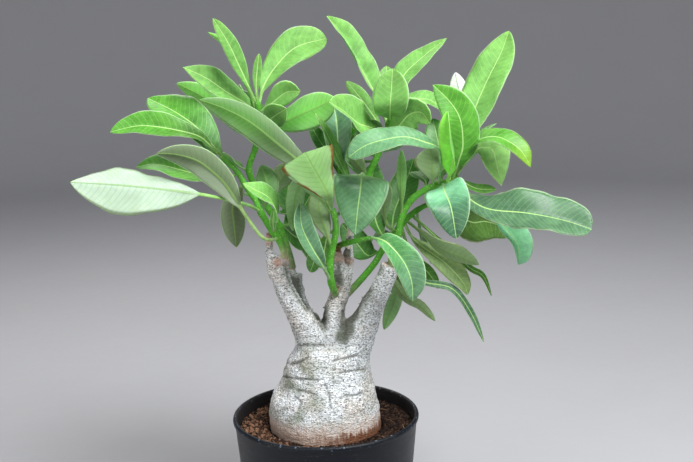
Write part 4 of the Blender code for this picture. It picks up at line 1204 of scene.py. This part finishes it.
def foliage_tree():
    """Sweeps a section along each line of stations: a round stem where round is 1, a blade where it is 0."""
    tree, given, made = node_tree(
        "Foliage", "GeometryNodeTree",
        [("Stations", "Geometry", None), ("Section Points", "Int", 24), ("Rim Wave", "Float", 0.03),
         ("Rim Wave Length", "Float", 0.02), ("Skin", "Material", None)],
        [("Geometry", "Geometry", None)])

    def named(name, kind="FLOAT"):
        return node(tree, "GeometryNodeInputNamedAttribute", {"Name": name}, data_type=kind).outputs[0]

    lines = node(tree, "GeometryNodeMeshToCurve", {"Mesh": given["Stations"]}).outputs[0]
    ring = node(tree, "GeometryNodeCurvePrimitiveCircle", {"Resolution": given["Section Points"]}).outputs[0]
    ring = stored(tree, ring, "turn", node(tree, "GeometryNodeSplineParameter").outputs["Factor"])
    body = swept(tree, lines, ring)
    turn, roundness, half = named("turn"), named("round"), named("spread_half")
    angle = times(tree, turn, math.tau)
    round_across, round_lift = maths(tree, "COSINE", angle), maths(tree, "SINE", angle)
    flat_across = scaled(tree, size_of(tree, scaled(tree, turn, 2.0, -1.0)), 2.0, -1.0)
    flat_lift = maths(tree, "MAXIMUM", maths(tree, "MINIMUM", times(tree, round_lift, 3.0), 1.0), -1.0)
    out = size_of(tree, flat_across)

    def between(flat, full):
        """The flat value on a blade and the full one on a stem."""
        return scaled(tree, maths(tree, "SUBTRACT", full, flat), roundness, flat)

    across, lift = between(flat_across, round_across), between(flat_lift, round_lift)
    wide = times(tree, across, half)
    # How far a blade rises from its midrib: its fold, the short wave of its rim and its long sway
    bowed = times(tree, out, scaled(tree, out, -0.28, 1.28))
    phase = maths(tree, "DIVIDE", times(tree, named("reach"), math.tau), given["Rim Wave Length"])
    ripple = maths(tree, "SINE", scaled(tree, flat_across, 1.3, phase))
    ripple = times(tree, ripple, maths(tree, "POWER", out, 3.0))
    ripple = times(tree, ripple, times(tree, half, given["Rim Wave"]))
    rise = scaled(tree, bowed, named("vee"), ripple)
    rise = maths(tree, "SUBTRACT", rise, times(tree, flat_across, named("sway")))
    rise = times(tree, rise, maths(tree, "SUBTRACT", 1.0, roundness, clamp=True))
    rise = scaled(tree, lift, times(tree, named("thick"), 0.5), rise)
    moved = named("mid", "FLOAT_VECTOR")
    for way, distance in (("side_way", wide), ("up_way", rise)):
        step = vector_maths(tree, "SCALE", named(way, "FLOAT_VECTOR"), distance)
        moved = vector_maths(tree, "ADD", moved, step)
    body = node(tree, "GeometryNodeSetPosition", {"Geometry": body, "Position": moved}).outputs[0]
    body = stored(tree, body, "blade", joined(tree, across, named("along"), lift), "FLOAT_VECTOR")
    body = stored(tree, body, "measure", joined(tree, wide, named("reach"), roundness), "FLOAT_VECTOR")
    body = node(tree, "GeometryNodeSetShadeSmooth", {"Geometry": body}).outputs[0]
    handed_out(tree, made, body, given["Skin"])
    return tree


def blade_outline(along, foot, tip):
    """Half width of a blade along its length, as a share of its widest."""
    if not 0 < along < 1:
        return 0.0
    peak = foot / (foot + tip)
    return (along / peak) ** foot * ((1 - along) / (1 - peak)) ** tip


def tone_of(name):
    """A tone as vectors: upper side, underside, (roughness, brown, yellow) and (painted light on one half,
    0).
    """
    palette = colours()
    upper, under, *wear = TONES[name]
    lit_side = Vector((wear[3] if len(wear) > 3 else 0, 0))
    return Vector(getattr(palette, upper)), Vector(getattr(palette, under)), Vector(wear[:3]), lit_side


def leaf_stations(start, shape):
    """The stations of one leaf, as dictionaries of what the tree reads."""
    size, palette = sizes(), colours()
    route = [start] + [place(across, up, depth * LEAF_SPREAD) for across, up, depth in shape["route"]]
    stalk, width = shape["stalk"], shape["width"] * MM
    length = length_of(route)
    steps = max(12, round(length / size.station))
    shares = [k / steps for k in range(steps)] + [1 - 0.35 / steps, 1]
    points = smooth_route(route, shares)
    tangents = tangents_of(points)
    middle = min(range(len(shares)), key=lambda k: abs(shares[k] - (stalk + (1 - stalk) * 0.45)))
    to_eye = VIEW_EYE - points[middle]
    front = (to_eye - to_eye.project(tangents[middle])).normalized()
    above = tangents[middle].cross(front)
    above = -above if above.z < 0 else above
    turn = math.radians(shape["face"])
    normals = carried(math.cos(turn) * front + math.sin(turn) * above, tangents, middle)
    fold = math.radians(shape["fold"])
    near, far = (tone_of(shape[key]) for key in ("tone", "end"))
    found = []
    for share, point, tangent, normal in zip(shares, points, tangents, normals):
        along = (share - stalk) / (1 - stalk)
        wide = blade_outline(max(0, along), shape["foot"], shape["tip"])
        rounded = 1 - smoothstep(-0.02, 0.12, along)
        half = max(width / 2 * wide, size.stalk / 2 * (1 if along < 0.3 else 0.16))
        half = half if share < 1 else TIP_HALF
        full = math.sin(math.pi * min(1, max(0, along))) ** 0.65 if 0 < along < 1 else 0
        sway = size.edge_wave * width * full * math.sin(2.4 * length * share / WAVE_STEP + shape["face"])
        upper, under, wear, lit_side = (a.lerp(b, smoothstep(0.25, 0.75, along)) for a, b in zip(near, far))
        found.append({
            "mid": point, "side_way": tangent.cross(normal).normalized(), "up_way": normal.normalized(),
            "upper": upper.lerp(Vector(palette.midrib), 0.45 * rounded), "under": under,
            "wear": wear, "lit_side": lit_side.x, "spread_half": half * math.cos(fold * (1 - rounded)),
            "vee": half * math.sin(fold), "sway": sway,
            "thick": size.blade + (size.stalk * 0.85 - size.blade) * rounded,
            "round": rounded, "along": max(0, along), "reach": length * share,
        })
    found[-1]["thick"] = TIP_THICKNESS
    return found


def tube_stations(points, radii, skin_of):
    """The stations of a round stem. skin_of gives its colour at a share of its length."""
    tangents = tangents_of(points)
    sides = carried(tangents[0].orthogonal().normalized(), tangents, 0)
    length = length_of(points)
    found = []
    for k, (point, tangent, side, radius) in enumerate(zip(points, tangents, sides, radii)):
        share = k / (len(points) - 1)
        found.append({
            "mid": point, "side_way": side, "up_way": side.cross(tangent).normalized(),
            "upper": skin_of(share), "under": skin_of(share), "wear": Vector((0.5, 0, 0)), "lit_side": 0,
            "spread_half": radius, "vee": 0, "sway": 0, "thick": 2 * radius, "round": 1, "along": 0,
            "reach": length * share,
        })
    return found


def station_lines(name, lines):
    """A mesh of loose edges through the stations, with what the tree reads as attributes of its points."""
    flat = [station for line in lines for station in line]
    edges, first = [], 0
    for line in lines:
        edges += [(first + k, first + k + 1) for k in range(len(line) - 1)]
        first += len(line)
    data = bpy.data.meshes.new(name)
    data.from_pydata([station["mid"] for station in flat], edges, [])
    for key in STATION_VECTORS:
        made = data.attributes.new(key, "FLOAT_VECTOR", "POINT")
        made.data.foreach_set("vector", [value for station in flat for value in station[key]])
    for key in (*STATION_NUMBERS, "lit_side"):
        made = data.attributes.new(key, "FLOAT", "POINT")
        made.data.foreach_set("value", [float(station[key]) for station in flat])
    return data


def stem_lines(stem):
    """The lines of one leafy stem: the stem itself, its bare twigs and its leaves."""
    palette = colours()
    route = [place(*point) for point in stem["route"]]
    steps = max(8, round(length_of(route) / STEM_STATION))
    shares = [k / steps for k in range(steps + 1)]
    foot, top = (radius * MM for radius in stem["radii"])
    knots = [shape["at"] for shape in stem["leaves"]]
    radii = []
    for share in shares:
        swell = sum(math.exp(-((share - knot) / KNOT_REACH) ** 2) for knot in knots)
        radii.append((foot + (top - foot) * share) * (1 + KNOT_SWELL * min(1, swell)))
    radii[-1] *= 0.5
    woody = stem.get("woody", -0.2)
    foot_skin = Vector(getattr(palette, stem.get("foot_skin", "bark_warm")))
    old, green, young = Vector(palette.stem_old), Vector(palette.stem), Vector(palette.fresh)

    def skin(share):
        if share < woody + 0.15:
            return foot_skin.lerp(green, smoothstep(woody - 0.1, woody + 0.15, share))
        return old.lerp(green, smoothstep(0.0, 0.25, share)).lerp(young, 0.6 * smoothstep(0.5, 1, share))

    points = smooth_route(route, shares)
    lines = [tube_stations(points, radii, skin)]
    for twig in stem.get("twigs", []):
        twig_shares = [k / TWIG_STEPS for k in range(TWIG_STEPS + 1)]
        path = smooth_route([place(*point) for point in twig], twig_shares)
        lines.append(tube_stations(path, [top] * TWIG_STEPS + [top * 0.8], lambda share: green))
    for shape in stem["leaves"]:
        start = smooth_route(route, [shape["at"]])[0]
        lines.append(leaf_stations(start, shape))
    return lines


# Trunk


def to_line(point, line):
    """Distance from a drawn point to a drawn line, in millimetres."""
    best = 1e9
    for a, b in zip(line, line[1:]):
        a, b = Vector(a), Vector(b)
        t = min(1, max(0, (point - a).dot(b - a) / (b - a).length_squared))
        best = min(best, (point - a.lerp(b, t)).length)
    return best


def rough_by(point, width, depth, flatter=1.0):
    """Noise of this width and depth in millimetres, its lumps pressed flatter than they are wide."""
    return noise.noise(Vector((point.x, point.y, point.z * flatter)) / (width * MM)) * depth * MM


def bark_marks(point, normal):
    """How far a point of the bark moves out, and its (crease, collar, moss) marks, the crease and moss marks
    partly painted shade.
    """
    size = sizes()
    fade = min(1, max(0, (point.z - SOIL_TOP) / (12 * MM)))
    out = (rough_by(point, 16, 1.0) + rough_by(point, 22, 0.8, 3.2)) * fade
    out += rough_by(point, 5, 0.45, 2.6) + rough_by(point, 2.3, 0.22)
    crease = fold = flank = 0.0
    shown = drawn(point)
    # Along the drawn creases and folds the bark is sunk; creases, folds and flanks are also painted darker
    # with shade
    if normal.y < 0.1:
        nearest = min(to_line(shown, line) for line in CREASES)
        nearest += 0.35 * noise.noise(point / (4 * MM))
        crease = math.exp(-((nearest * MM / size.crease_width) ** 2)) * 0.9
        fold = min(to_line(shown, line) for line in FOLDS) + 0.8 * noise.noise(point / (5 * MM))
        fold = math.exp(-((fold * MM / size.fold_width) ** 2))
        flank = min(to_line(shown, line) for line in FLANKS) + 2.5 * noise.noise(point / (6 * MM))
        flank = smoothstep(8.5, 3.5, flank) * smoothstep(0.6, 0.1, normal.x)
    ring = noise.noise(Vector((point.x * 0.6, point.y * 0.6, point.z * 2.4 + 0.7)) / (9 * MM))
    ringed = smoothstep(0.1, 0.5, noise.noise(point / (19 * MM) + Vector((5, 1, 2))))
    crease = max(crease, 0.55 * math.exp(-((ring / 0.05) ** 2)) * ringed)
    out -= size.crease_depth * crease + size.fold_depth * fold
    crease = max(crease, 0.8 * flank)
    collar = 0.0
    for across, up, depth, reach in COLLARS:
        away = (point - place(across, up, depth)).length / MM
        collar = max(collar, 1 - smoothstep(0.45 * reach, reach, away + 1.6 * noise.noise(point / (3 * MM))))
    patch = noise.noise(point / (13 * MM) + Vector((2, 7, 3)))
    # Moss and painted shade are stronger on the trunk's left, the side away from the key light
    left = smoothstep(5, -45, shown.x) if normal.y < 0.3 else 0.5
    moss_and_shade = smoothstep(-0.12, 0.4, patch) * (0.2 + 0.8 * left) * smoothstep(0.215, 0.17, point.z)
    # Moss and painted shade on the branches' sides that face left, away from the light
    aside = smoothstep(-0.3, -0.9, normal.x) * (0.35 if shown.x < -38 else 1) * smoothstep(-0.5, 0.25, patch)
    moss_and_shade = max(moss_and_shade, aside * smoothstep(0.165, 0.195, point.z), 0.9 * fold, flank)
    return out, (crease, collar, moss_and_shade)


def sheltered(mesh, reach=16 * MM, rays=12):
    """How far each vertex lies in a fork or fold: the share of short rays from it that hit the mesh."""
    tree = BVHTree.FromPolygons([v.co for v in mesh.vertices], [p.vertices for p in mesh.polygons])
    found = []
    for vertex in mesh.vertices:
        side = vertex.normal.orthogonal().normalized()
        other = vertex.normal.cross(side)
        hits = 0
        for k in range(rays):
            turn = 2.4 * k
            lean = math.sqrt((k + 0.5) / rays) * 0.97
            aside = math.cos(turn) * side + math.sin(turn) * other
            ray = math.sqrt(1 - lean * lean) * vertex.normal + lean * aside
            hits += tree.ray_cast(vertex.co + 0.3 * MM * vertex.normal, ray, reach)[0] is not None
        found.append(hits / rays)
    return found


def stubs_tree():
    """Scatters small blunt spine stubs over the branches, standing out from the bark."""
    tree, given, made = node_tree(
        "Spine stubs", "GeometryNodeTree",
        [("Bark", "Geometry", None), ("Length", "Float", 0.0013), ("Density", "Float", 9000.0),
         ("Seed", "Int", 4), ("Skin", "Material", None)],
        [("Geometry", "Geometry", None)])
    height = parts(tree, position(tree))[2]
    high = node(tree, "FunctionNodeCompare", {0: height, 1: STUBS_FROM}, operation="GREATER_THAN").outputs[0]
    points = scattered(tree, given["Bark"], given["Seed"], STUB_SPACING, given["Density"], high)
    cone = node(tree, "GeometryNodeMeshCone", {
        "Vertices": 7, "Radius Top": STUB_TIP, "Radius Bottom": STUB_FOOT, "Depth": given["Length"]})
    grow = random_value(tree, given["Seed"], 0.45, 1.15)
    stubs = instanced(tree, points[0], cone.outputs[0], points["Rotation"], grow)
    handed_out(tree, made, stubs, given["Skin"])
    return tree


# Soil


def wall_radius(height):
    """The pot's outer radius below its lip."""
    return FOOT_RADIUS + (RIM_RADIUS - LIP_OUT - FOOT_RADIUS) * height / POT_HEIGHT


def inner_wall(top):
    """The pot's inner profile from this height down to its floor."""
    return [(wall_radius(top) - WALL, top), (FOOT_RADIUS - WALL + 0.4 * MM, FLOOR), (0, FLOOR)]


def inside_pot(tree, reach):
    """1 where a point lies near the soil's surface and within this distance of the pot's axis."""
    where = position(tree)
    high = maths(tree, "GREATER_THAN", parts(tree, where)[2], SURFACE_FROM)
    return times(tree, maths(tree, "LESS_THAN", from_axis(tree, where), reach), high)


def granules_tree():
    """Scatters one uneven lump over the soil, turned and stretched at random."""
    tree, given, made = node_tree(
        "Granules", "GeometryNodeTree",
        [("Bed", "Geometry", None), ("Reach", "Float", 0.07), ("Width", "Float", 0.002),
         ("Spacing", "Float", 0.0015), ("Detail", "Int", 2), ("Seed", "Int", 1), ("Skin", "Material", None)],
        [("Geometry", "Geometry", None)])
    seed = given["Seed"]
    level = maths(tree, "GREATER_THAN", parts(tree, normal_of(tree))[2], 0.5)
    chosen = times(tree, level, inside_pot(tree, given["Reach"]))
    points = scattered(tree, given["Bed"], seed, given["Spacing"], GRANULE_DENSITY, chosen)
    lump = node(tree, "GeometryNodeMeshIcoSphere", {
        "Radius": times(tree, given["Width"], 0.5), "Subdivisions": given["Detail"]}).outputs[0]
    rough = node(tree, "ShaderNodeTexNoise", {"Scale": 1500.0, "Detail": 2.0}).outputs[0]
    dent = times(tree, maths(tree, "SUBTRACT", rough, 0.5), given["Width"])
    dented = vector_maths(tree, "SCALE", normal_of(tree), dent)
    lump = node(tree, "GeometryNodeSetPosition", {"Geometry": lump, "Offset": dented}).outputs[0]
    turn = random_value(tree, seed, (0, 0, 0), (6.28, 6.28, 6.28))
    grow = random_value(tree, maths(tree, "ADD", seed, 9), (0.55, 0.55, 0.5), (1.35, 1.3, 1.1))
    lumps = instanced(tree, points[0], lump, turn, grow)
    lot = random_value(tree, maths(tree, "ADD", seed, 4), 0.0, 1.0)
    # The seat's height lets the soil's material paint shade at each granule's foot
    grit = joined(tree, lot, parts(tree, position(tree))[2])
    lumps = stored(tree, lumps, "grit", grit, "FLOAT_VECTOR", "INSTANCE")
    handed_out(tree, made, lumps, given["Skin"])
    return tree


def straw_tree():
    """Lays thin bent bits of straw on the soil, most of them on its right side."""
    tree, given, made = node_tree(
        "Straw", "GeometryNodeTree",
        [("Bed", "Geometry", None), ("Reach", "Float", 0.065), ("Length", "Float", 0.008), ("Seed", "Int", 3),
         ("Skin", "Material", None)],
        [("Geometry", "Geometry", None)])
    seed = given["Seed"]
    more = spread(tree, parts(tree, position(tree))[0], -0.01, 0.05, 0.12, 1.0, "LINEAR")
    chosen = times(tree, more, inside_pot(tree, given["Reach"]))
    points = scattered(
        tree, given["Bed"], seed, STRAW_SPACING, STRAW_DENSITY, chosen, by="Density Factor")
    corners = {"Start": (-1, 0, 0), "Start Handle": (-0.35, 0.4, 0.12), "End Handle": (0.35, 0.15, 0.16),
               "End": (1, 0, 0.02)}
    half = times(tree, given["Length"], 0.5)
    bend = {name: vector_maths(tree, "SCALE", corner, half) for name, corner in corners.items()}
    line = node(tree, "GeometryNodeCurvePrimitiveBezierSegment", {"Resolution": 6, **bend}).outputs[0]
    ring = node(tree, "GeometryNodeCurvePrimitiveCircle", {"Resolution": 5, "Radius": STRAW_RADIUS})
    turn = random_value(tree, seed, (-0.3, -0.3, 0), (0.3, 0.3, 6.28))
    grow = random_value(tree, maths(tree, "ADD", seed, 5), 0.4, 1.25)
    lifted = node(tree, "GeometryNodeSetPosition", {"Geometry": points[0], "Offset": (0, 0, STRAW_LIFT)})
    bits = instanced(tree, lifted.outputs[0], swept(tree, line, ring.outputs[0]), turn, grow)
    handed_out(tree, made, bits, given["Skin"])
    return tree


# Operators


class PLANT_OT_pot(bpy.types.Operator):
    """Makes the round plastic pot with its rolled lip and drain holes"""

    bl_idname = "plant.make_pot"
    bl_label = "Make pot"

    def execute(self, context):
        lip = POT_HEIGHT - LIP_HEIGHT
        outer = [
            (0, 0), (FOOT_RADIUS - 4 * MM, 0), (FOOT_RADIUS - 1.5 * MM, 0),
            (FOOT_RADIUS - 0.45 * MM, 0.45 * MM), (FOOT_RADIUS, 1.5 * MM), (wall_radius(lip / 3), lip / 3),
            (wall_radius(lip * 2 / 3), lip * 2 / 3), (wall_radius(lip - 0.5 * MM), lip - 0.5 * MM),
            (wall_radius(lip) + 0.12 * MM, lip - 0.1 * MM), (RIM_RADIUS - 0.35 * MM, lip + 0.3 * MM),
            (RIM_RADIUS - 0.1 * MM, lip + 0.9 * MM), (RIM_RADIUS, lip + 1.8 * MM),
            (RIM_RADIUS - 0.08 * MM, lip + 2.5 * MM), (RIM_RADIUS - 0.35 * MM, POT_HEIGHT - 0.9 * MM),
            (RIM_RADIUS - 0.95 * MM, POT_HEIGHT - 0.28 * MM), (RIM_RADIUS - 1.7 * MM, POT_HEIGHT),
            (RIM_RADIUS - 2.4 * MM, POT_HEIGHT - 0.2 * MM), (RIM_RADIUS - 3.1 * MM, POT_HEIGHT - 0.8 * MM),
            (RIM_RADIUS - 3.5 * MM, POT_HEIGHT - 1.8 * MM),
        ]
        pot = turned("pot_shell", outer + inner_wall(lip), POT_SIDES, pot_material())
        drains = bmesh.new()
        for k in range(DRAIN_HOLES):
            turn = Matrix.Rotation(math.tau * (k + 0.5) / DRAIN_HOLES, 3, "Z")
            middle = turn @ Vector((DRAIN_CIRCLE, 0, FLOOR / 2))
            bmesh.ops.create_cone(drains, cap_ends=True, segments=DRAIN_SIDES, radius1=DRAIN_RADIUS,
                                  radius2=DRAIN_RADIUS, depth=3 * FLOOR,
                                  matrix=Matrix.Translation(middle))
        cutter = from_bmesh("drains", drains)
        cut = pot.modifiers.new("Drains", "BOOLEAN")
        cut.operation, cut.object = "DIFFERENCE", cutter
        applied(pot)
        bpy.data.objects.remove(cutter)
        pot.data.shade_smooth()
        pot.data.set_sharp_from_angle(angle=SHARP_EDGE)
        finished(pot, "pot")
        return {"FINISHED"}


class PLANT_OT_soil(bpy.types.Operator):
    """Makes the bed of soil, its loose granules and the bits of straw on it"""

    bl_idname = "plant.make_soil"
    bl_label = "Make soil"

    def execute(self, context):
        size = sizes()
        skin = soil_material()
        wall = inner_wall(SOIL_TOP)
        outer = [(max(0, radius - SOIL_GAP), height + SOIL_GAP) for radius, height in wall]
        rim = outer[0][0]
        hole = [(radius * MM + ROOT_CLEAR, height * MM) for _, height, radius in BASE_RINGS
                if height * MM < SOIL_TOP]
        inner = hole[-1][0] + 0.8 * MM
        top = [(inner + (rim - inner) * k / SOIL_RINGS, SOIL_TOP) for k in range(SOIL_RINGS + 1)]
        profile = [(0, hole[0][1] - ROOT_CLEAR), (hole[0][0], hole[0][1] - ROOT_CLEAR), *hole[1:], *top]
        bed = turned("soil_bed", profile + outer[1:], BED_SIDES, skin)
        for vertex in bed.data.vertices:
            if vertex.co.z > SURFACE_FROM:
                rough = noise.noise(vertex.co / (4 * MM)) * 0.6 + noise.noise(vertex.co / (11 * MM)) * 0.7
                vertex.co.z += SOIL_BUMP * rough
        scatter = granules_tree()
        small = new_object("granules_small", bed.data.copy())
        grown(small, scatter, Reach=rim - size.granule * 0.4, Width=size.granule * 0.7,
              Spacing=size.granule * 0.56, Detail=1, Seed=1, Skin=skin)
        large = new_object("granules_large", bed.data.copy())
        grown(large, scatter, Reach=rim - size.granule * 0.9, Width=size.granule * 1.35,
              Spacing=size.granule * 1.1, Detail=2, Seed=7, Skin=skin)
        straw = new_object("straw_bits", bed.data.copy())
        grown(straw, straw_tree(), Reach=rim - size.straw * 0.66, Length=size.straw, Seed=3,
              Skin=straw_material())
        bed.data.shade_smooth()
        finished(bed, "soil")
        for piece in (small, large, straw):
            outwards(piece)
            finished(piece, None)
        return {"FINISHED"}


class PLANT_OT_trunk(bpy.types.Operator):
    """Makes the swollen trunk with its branches, creased bark and spine stubs"""

    bl_idname = "plant.make_trunk"
    bl_label = "Make trunk"

    def execute(self, context):
        size = sizes()
        mesh = bmesh.new()
        points = [Vector((x, 0, z)) * MM for x, z, _ in BASE_RINGS]
        turns = [math.tau * k / TRUNK_SIDES for k in range(TRUNK_SIDES)]
        rings = [[p + Vector((math.cos(a), math.sin(a), 0)) * radius * MM for a in turns]
                 for p, (_, _, radius) in zip(points, BASE_RINGS)]
        loft(mesh, rings)
        for rows in BRANCHES.values():
            shares = [k / (4 * len(rows)) for k in range(4 * len(rows) + 1)]
            points = smooth_route([place(*row[:3]) for row in rows], shares)
            radii = smooth_route([Vector((place(*row[:3]).z, row[3] * MM, 0)) for row in rows], shares)
            tube(mesh, points, [r.y for r in radii], BRANCH_SIDES)
        skin = bark_material()
        trunk = from_bmesh("bark_trunk", mesh, skin)
        remesh = trunk.modifiers.new("Skin", "REMESH")
        remesh.mode = "VOXEL"
        remesh.voxel_size = size.bark_voxel
        soften = trunk.modifiers.new("Soften", "SMOOTH")
        soften.factor = BARK_SOFTENING
        soften.iterations = SOFTENING_STEPS
        applied(trunk)
        marks = []
        for vertex, normal in [(v, v.normal.copy()) for v in trunk.data.vertices]:
            out, found = bark_marks(vertex.co, normal)
            vertex.co += normal * out
            marks += found
        held = trunk.data.attributes.new("marks", "FLOAT_VECTOR", "POINT")
        held.data.foreach_set("vector", marks)
        trunk.data.update()
        # Painted shade: how enclosed each point lies in a fork or fold
        held = trunk.data.attributes.new("painted_fork_shade", "FLOAT", "POINT")
        held.data.foreach_set("value", sheltered(trunk.data))
        trunk.data.shade_smooth()
        if not trunk.data.materials:
            trunk.data.materials.append(skin)
        stubs = new_object("spine_stubs", trunk.data.copy())
        grown(stubs, stubs_tree(), Length=size.stub, Skin=skin)
        finished(trunk, "trunk")
        outwards(stubs)
        finished(stubs, None)
        return {"FINISHED"}


class PLANT_OT_foliage(bpy.types.Operator):
    """Makes the leafy stems, each with its stem, bare twigs and leaves"""

    bl_idname = "plant.make_foliage"
    bl_label = "Make foliage"

    def execute(self, context):
        size = sizes()
        skin = leaf_material()
        sweep = foliage_tree()
        for name, stem in STEMS.items():
            data = station_lines("foliage_" + name, stem_lines(stem))
            piece = new_object(data.name, data)
            grown(piece, sweep, Section_Points=size.section_points, Rim_Wave=size.rim_wave,
                  Rim_Wave_Length=size.rim_wave_length, Skin=skin)
            for key in (*STATION_VECTORS[:3], *STATION_NUMBERS, "turn"):
                held = piece.data.attributes.get(key)
                if held:
                    piece.data.attributes.remove(held)
            outwards(piece)
            finished(piece, name)
        return {"FINISHED"}


class PLANT_OT_stage(bpy.types.Operator):
    """Makes the floor that curves up into a backdrop, the soft lights and the camera"""

    bl_idname = "plant.make_stage"
    bl_label = "Make studio"

    def execute(self, context):
        light = context.scene.studio_settings
        profile = [(0.6, -FLOOR_DROP), (1.4, -FLOOR_DROP)]
        for turn in [math.pi / 2 * k / BEND_STEPS for k in range(BEND_STEPS + 1)]:
            profile.append((FLOOR_REACH + FLOOR_BEND * math.sin(turn), FLOOR_BEND * (1 - math.cos(turn))))
        profile.append((FLOOR_REACH + FLOOR_BEND, BACKDROP_TOP))
        mesh = bmesh.new()
        rows = [[mesh.verts.new(point) for point in circle(radius, height, FLOOR_SIDES)]
                for radius, height in profile]
        mesh.faces.new(rows[0])
        for low, high in zip(rows, rows[1:]):
            for k in range(FLOOR_SIDES):
                m = (k + 1) % FLOOR_SIDES
                mesh.faces.new((low[m], low[k], high[k], high[m]))
        bmesh.ops.recalc_face_normals(mesh, faces=mesh.faces)
        if mesh.faces[0].normal.z < 0:
            bmesh.ops.reverse_faces(mesh, faces=mesh.faces)
        floor = from_bmesh("studio_floor", mesh, floor_material())
        floor.data.shade_smooth()

        def area(name, place_at, aim, width, watts, colour):
            data = bpy.data.lights.new(name, "AREA")
            data.shape, data.size, data.energy, data.color = "DISK", width, watts, colour
            made = new_object(name, data)
            made.location = place_at
            made.rotation_euler = (Vector(aim) - Vector(place_at)).to_track_quat("-Z", "Y").to_euler()

        area("key_light", (0.68, -0.80, 1.5), (0, 0, 0.25), 0.9, light.key, (0.97, 0.99, 1.0))
        area("fill_light", (-1.2, -1.2, 0.7), (0, 0, 0.25), 1.2, light.fill, (1.0, 0.99, 0.97))
        area("back_light", (-0.3, 0.9, 1.3), (0, 0, 0.35), 0.8, light.back, (1.0, 1.0, 0.97))
        world = bpy.data.worlds.new("studio_air")
        world.use_nodes = True
        air = world.node_tree.nodes["Background"]
        air.inputs["Color"].default_value = (0.93, 0.96, 1.0, 1)
        air.inputs["Strength"].default_value = light.sky
        context.scene.world = world
        context.scene.view_settings.view_transform = "Standard"

        data = bpy.data.cameras.new("camera")
        data.sensor_width = SENSOR
        data.lens = SENSOR * VIEW_SHEET / SHEET_WIDTH
        data.clip_start = 0.02
        camera = new_object("camera", data)
        turn = Matrix((RIGHT, TOP, -AHEAD)).transposed()
        camera.matrix_world = Matrix.Translation(VIEW_EYE) @ turn.to_4x4()
        context.scene.camera = camera
        return {"FINISHED"}


class PLANT_PT_panel(bpy.types.Panel):
    """Lists the plant's pieces, sizes and colours"""

    bl_idname = "PLANT_PT_panel"
    bl_label = "Potted pachypodium"
    bl_space_type = "VIEW_3D"
    bl_region_type = "UI"
    bl_category = "Plant"

    def draw(self, context):
        for operator in OPERATORS:
            self.layout.operator(operator.bl_idname)
        for settings in (sizes(), colours(), context.scene.studio_settings):
            box = self.layout.box()
            for key in settings.bl_rna.properties.keys():
                if key not in ("rna_type", "name"):
                    box.prop(settings, key)


OPERATORS = (PLANT_OT_pot, PLANT_OT_soil, PLANT_OT_trunk, PLANT_OT_foliage, PLANT_OT_stage)
GROUPS = (PlantSizes, PlantColours, StudioSettings)


def register():
    for made in (*GROUPS, *OPERATORS, PLANT_PT_panel):
        bpy.utils.register_class(made)
    bpy.types.Scene.plant_sizes = PointerProperty(type=PlantSizes)
    bpy.types.Scene.plant_colours = PointerProperty(type=PlantColours)
    bpy.types.Scene.studio_settings = PointerProperty(type=StudioSettings)


def unregister():
    for name in ("plant_sizes", "plant_colours", "studio_settings"):
        delattr(bpy.types.Scene, name)
    for made in reversed((*GROUPS, *OPERATORS, PLANT_PT_panel)):
        bpy.utils.unregister_class(made)


def main():
    register()
    bpy.ops.plant.make_pot()
    bpy.ops.plant.make_soil()
    bpy.ops.plant.make_trunk()
    bpy.ops.plant.make_foliage()
    bpy.ops.plant.make_stage()


if __name__ == "__main__":
    main()
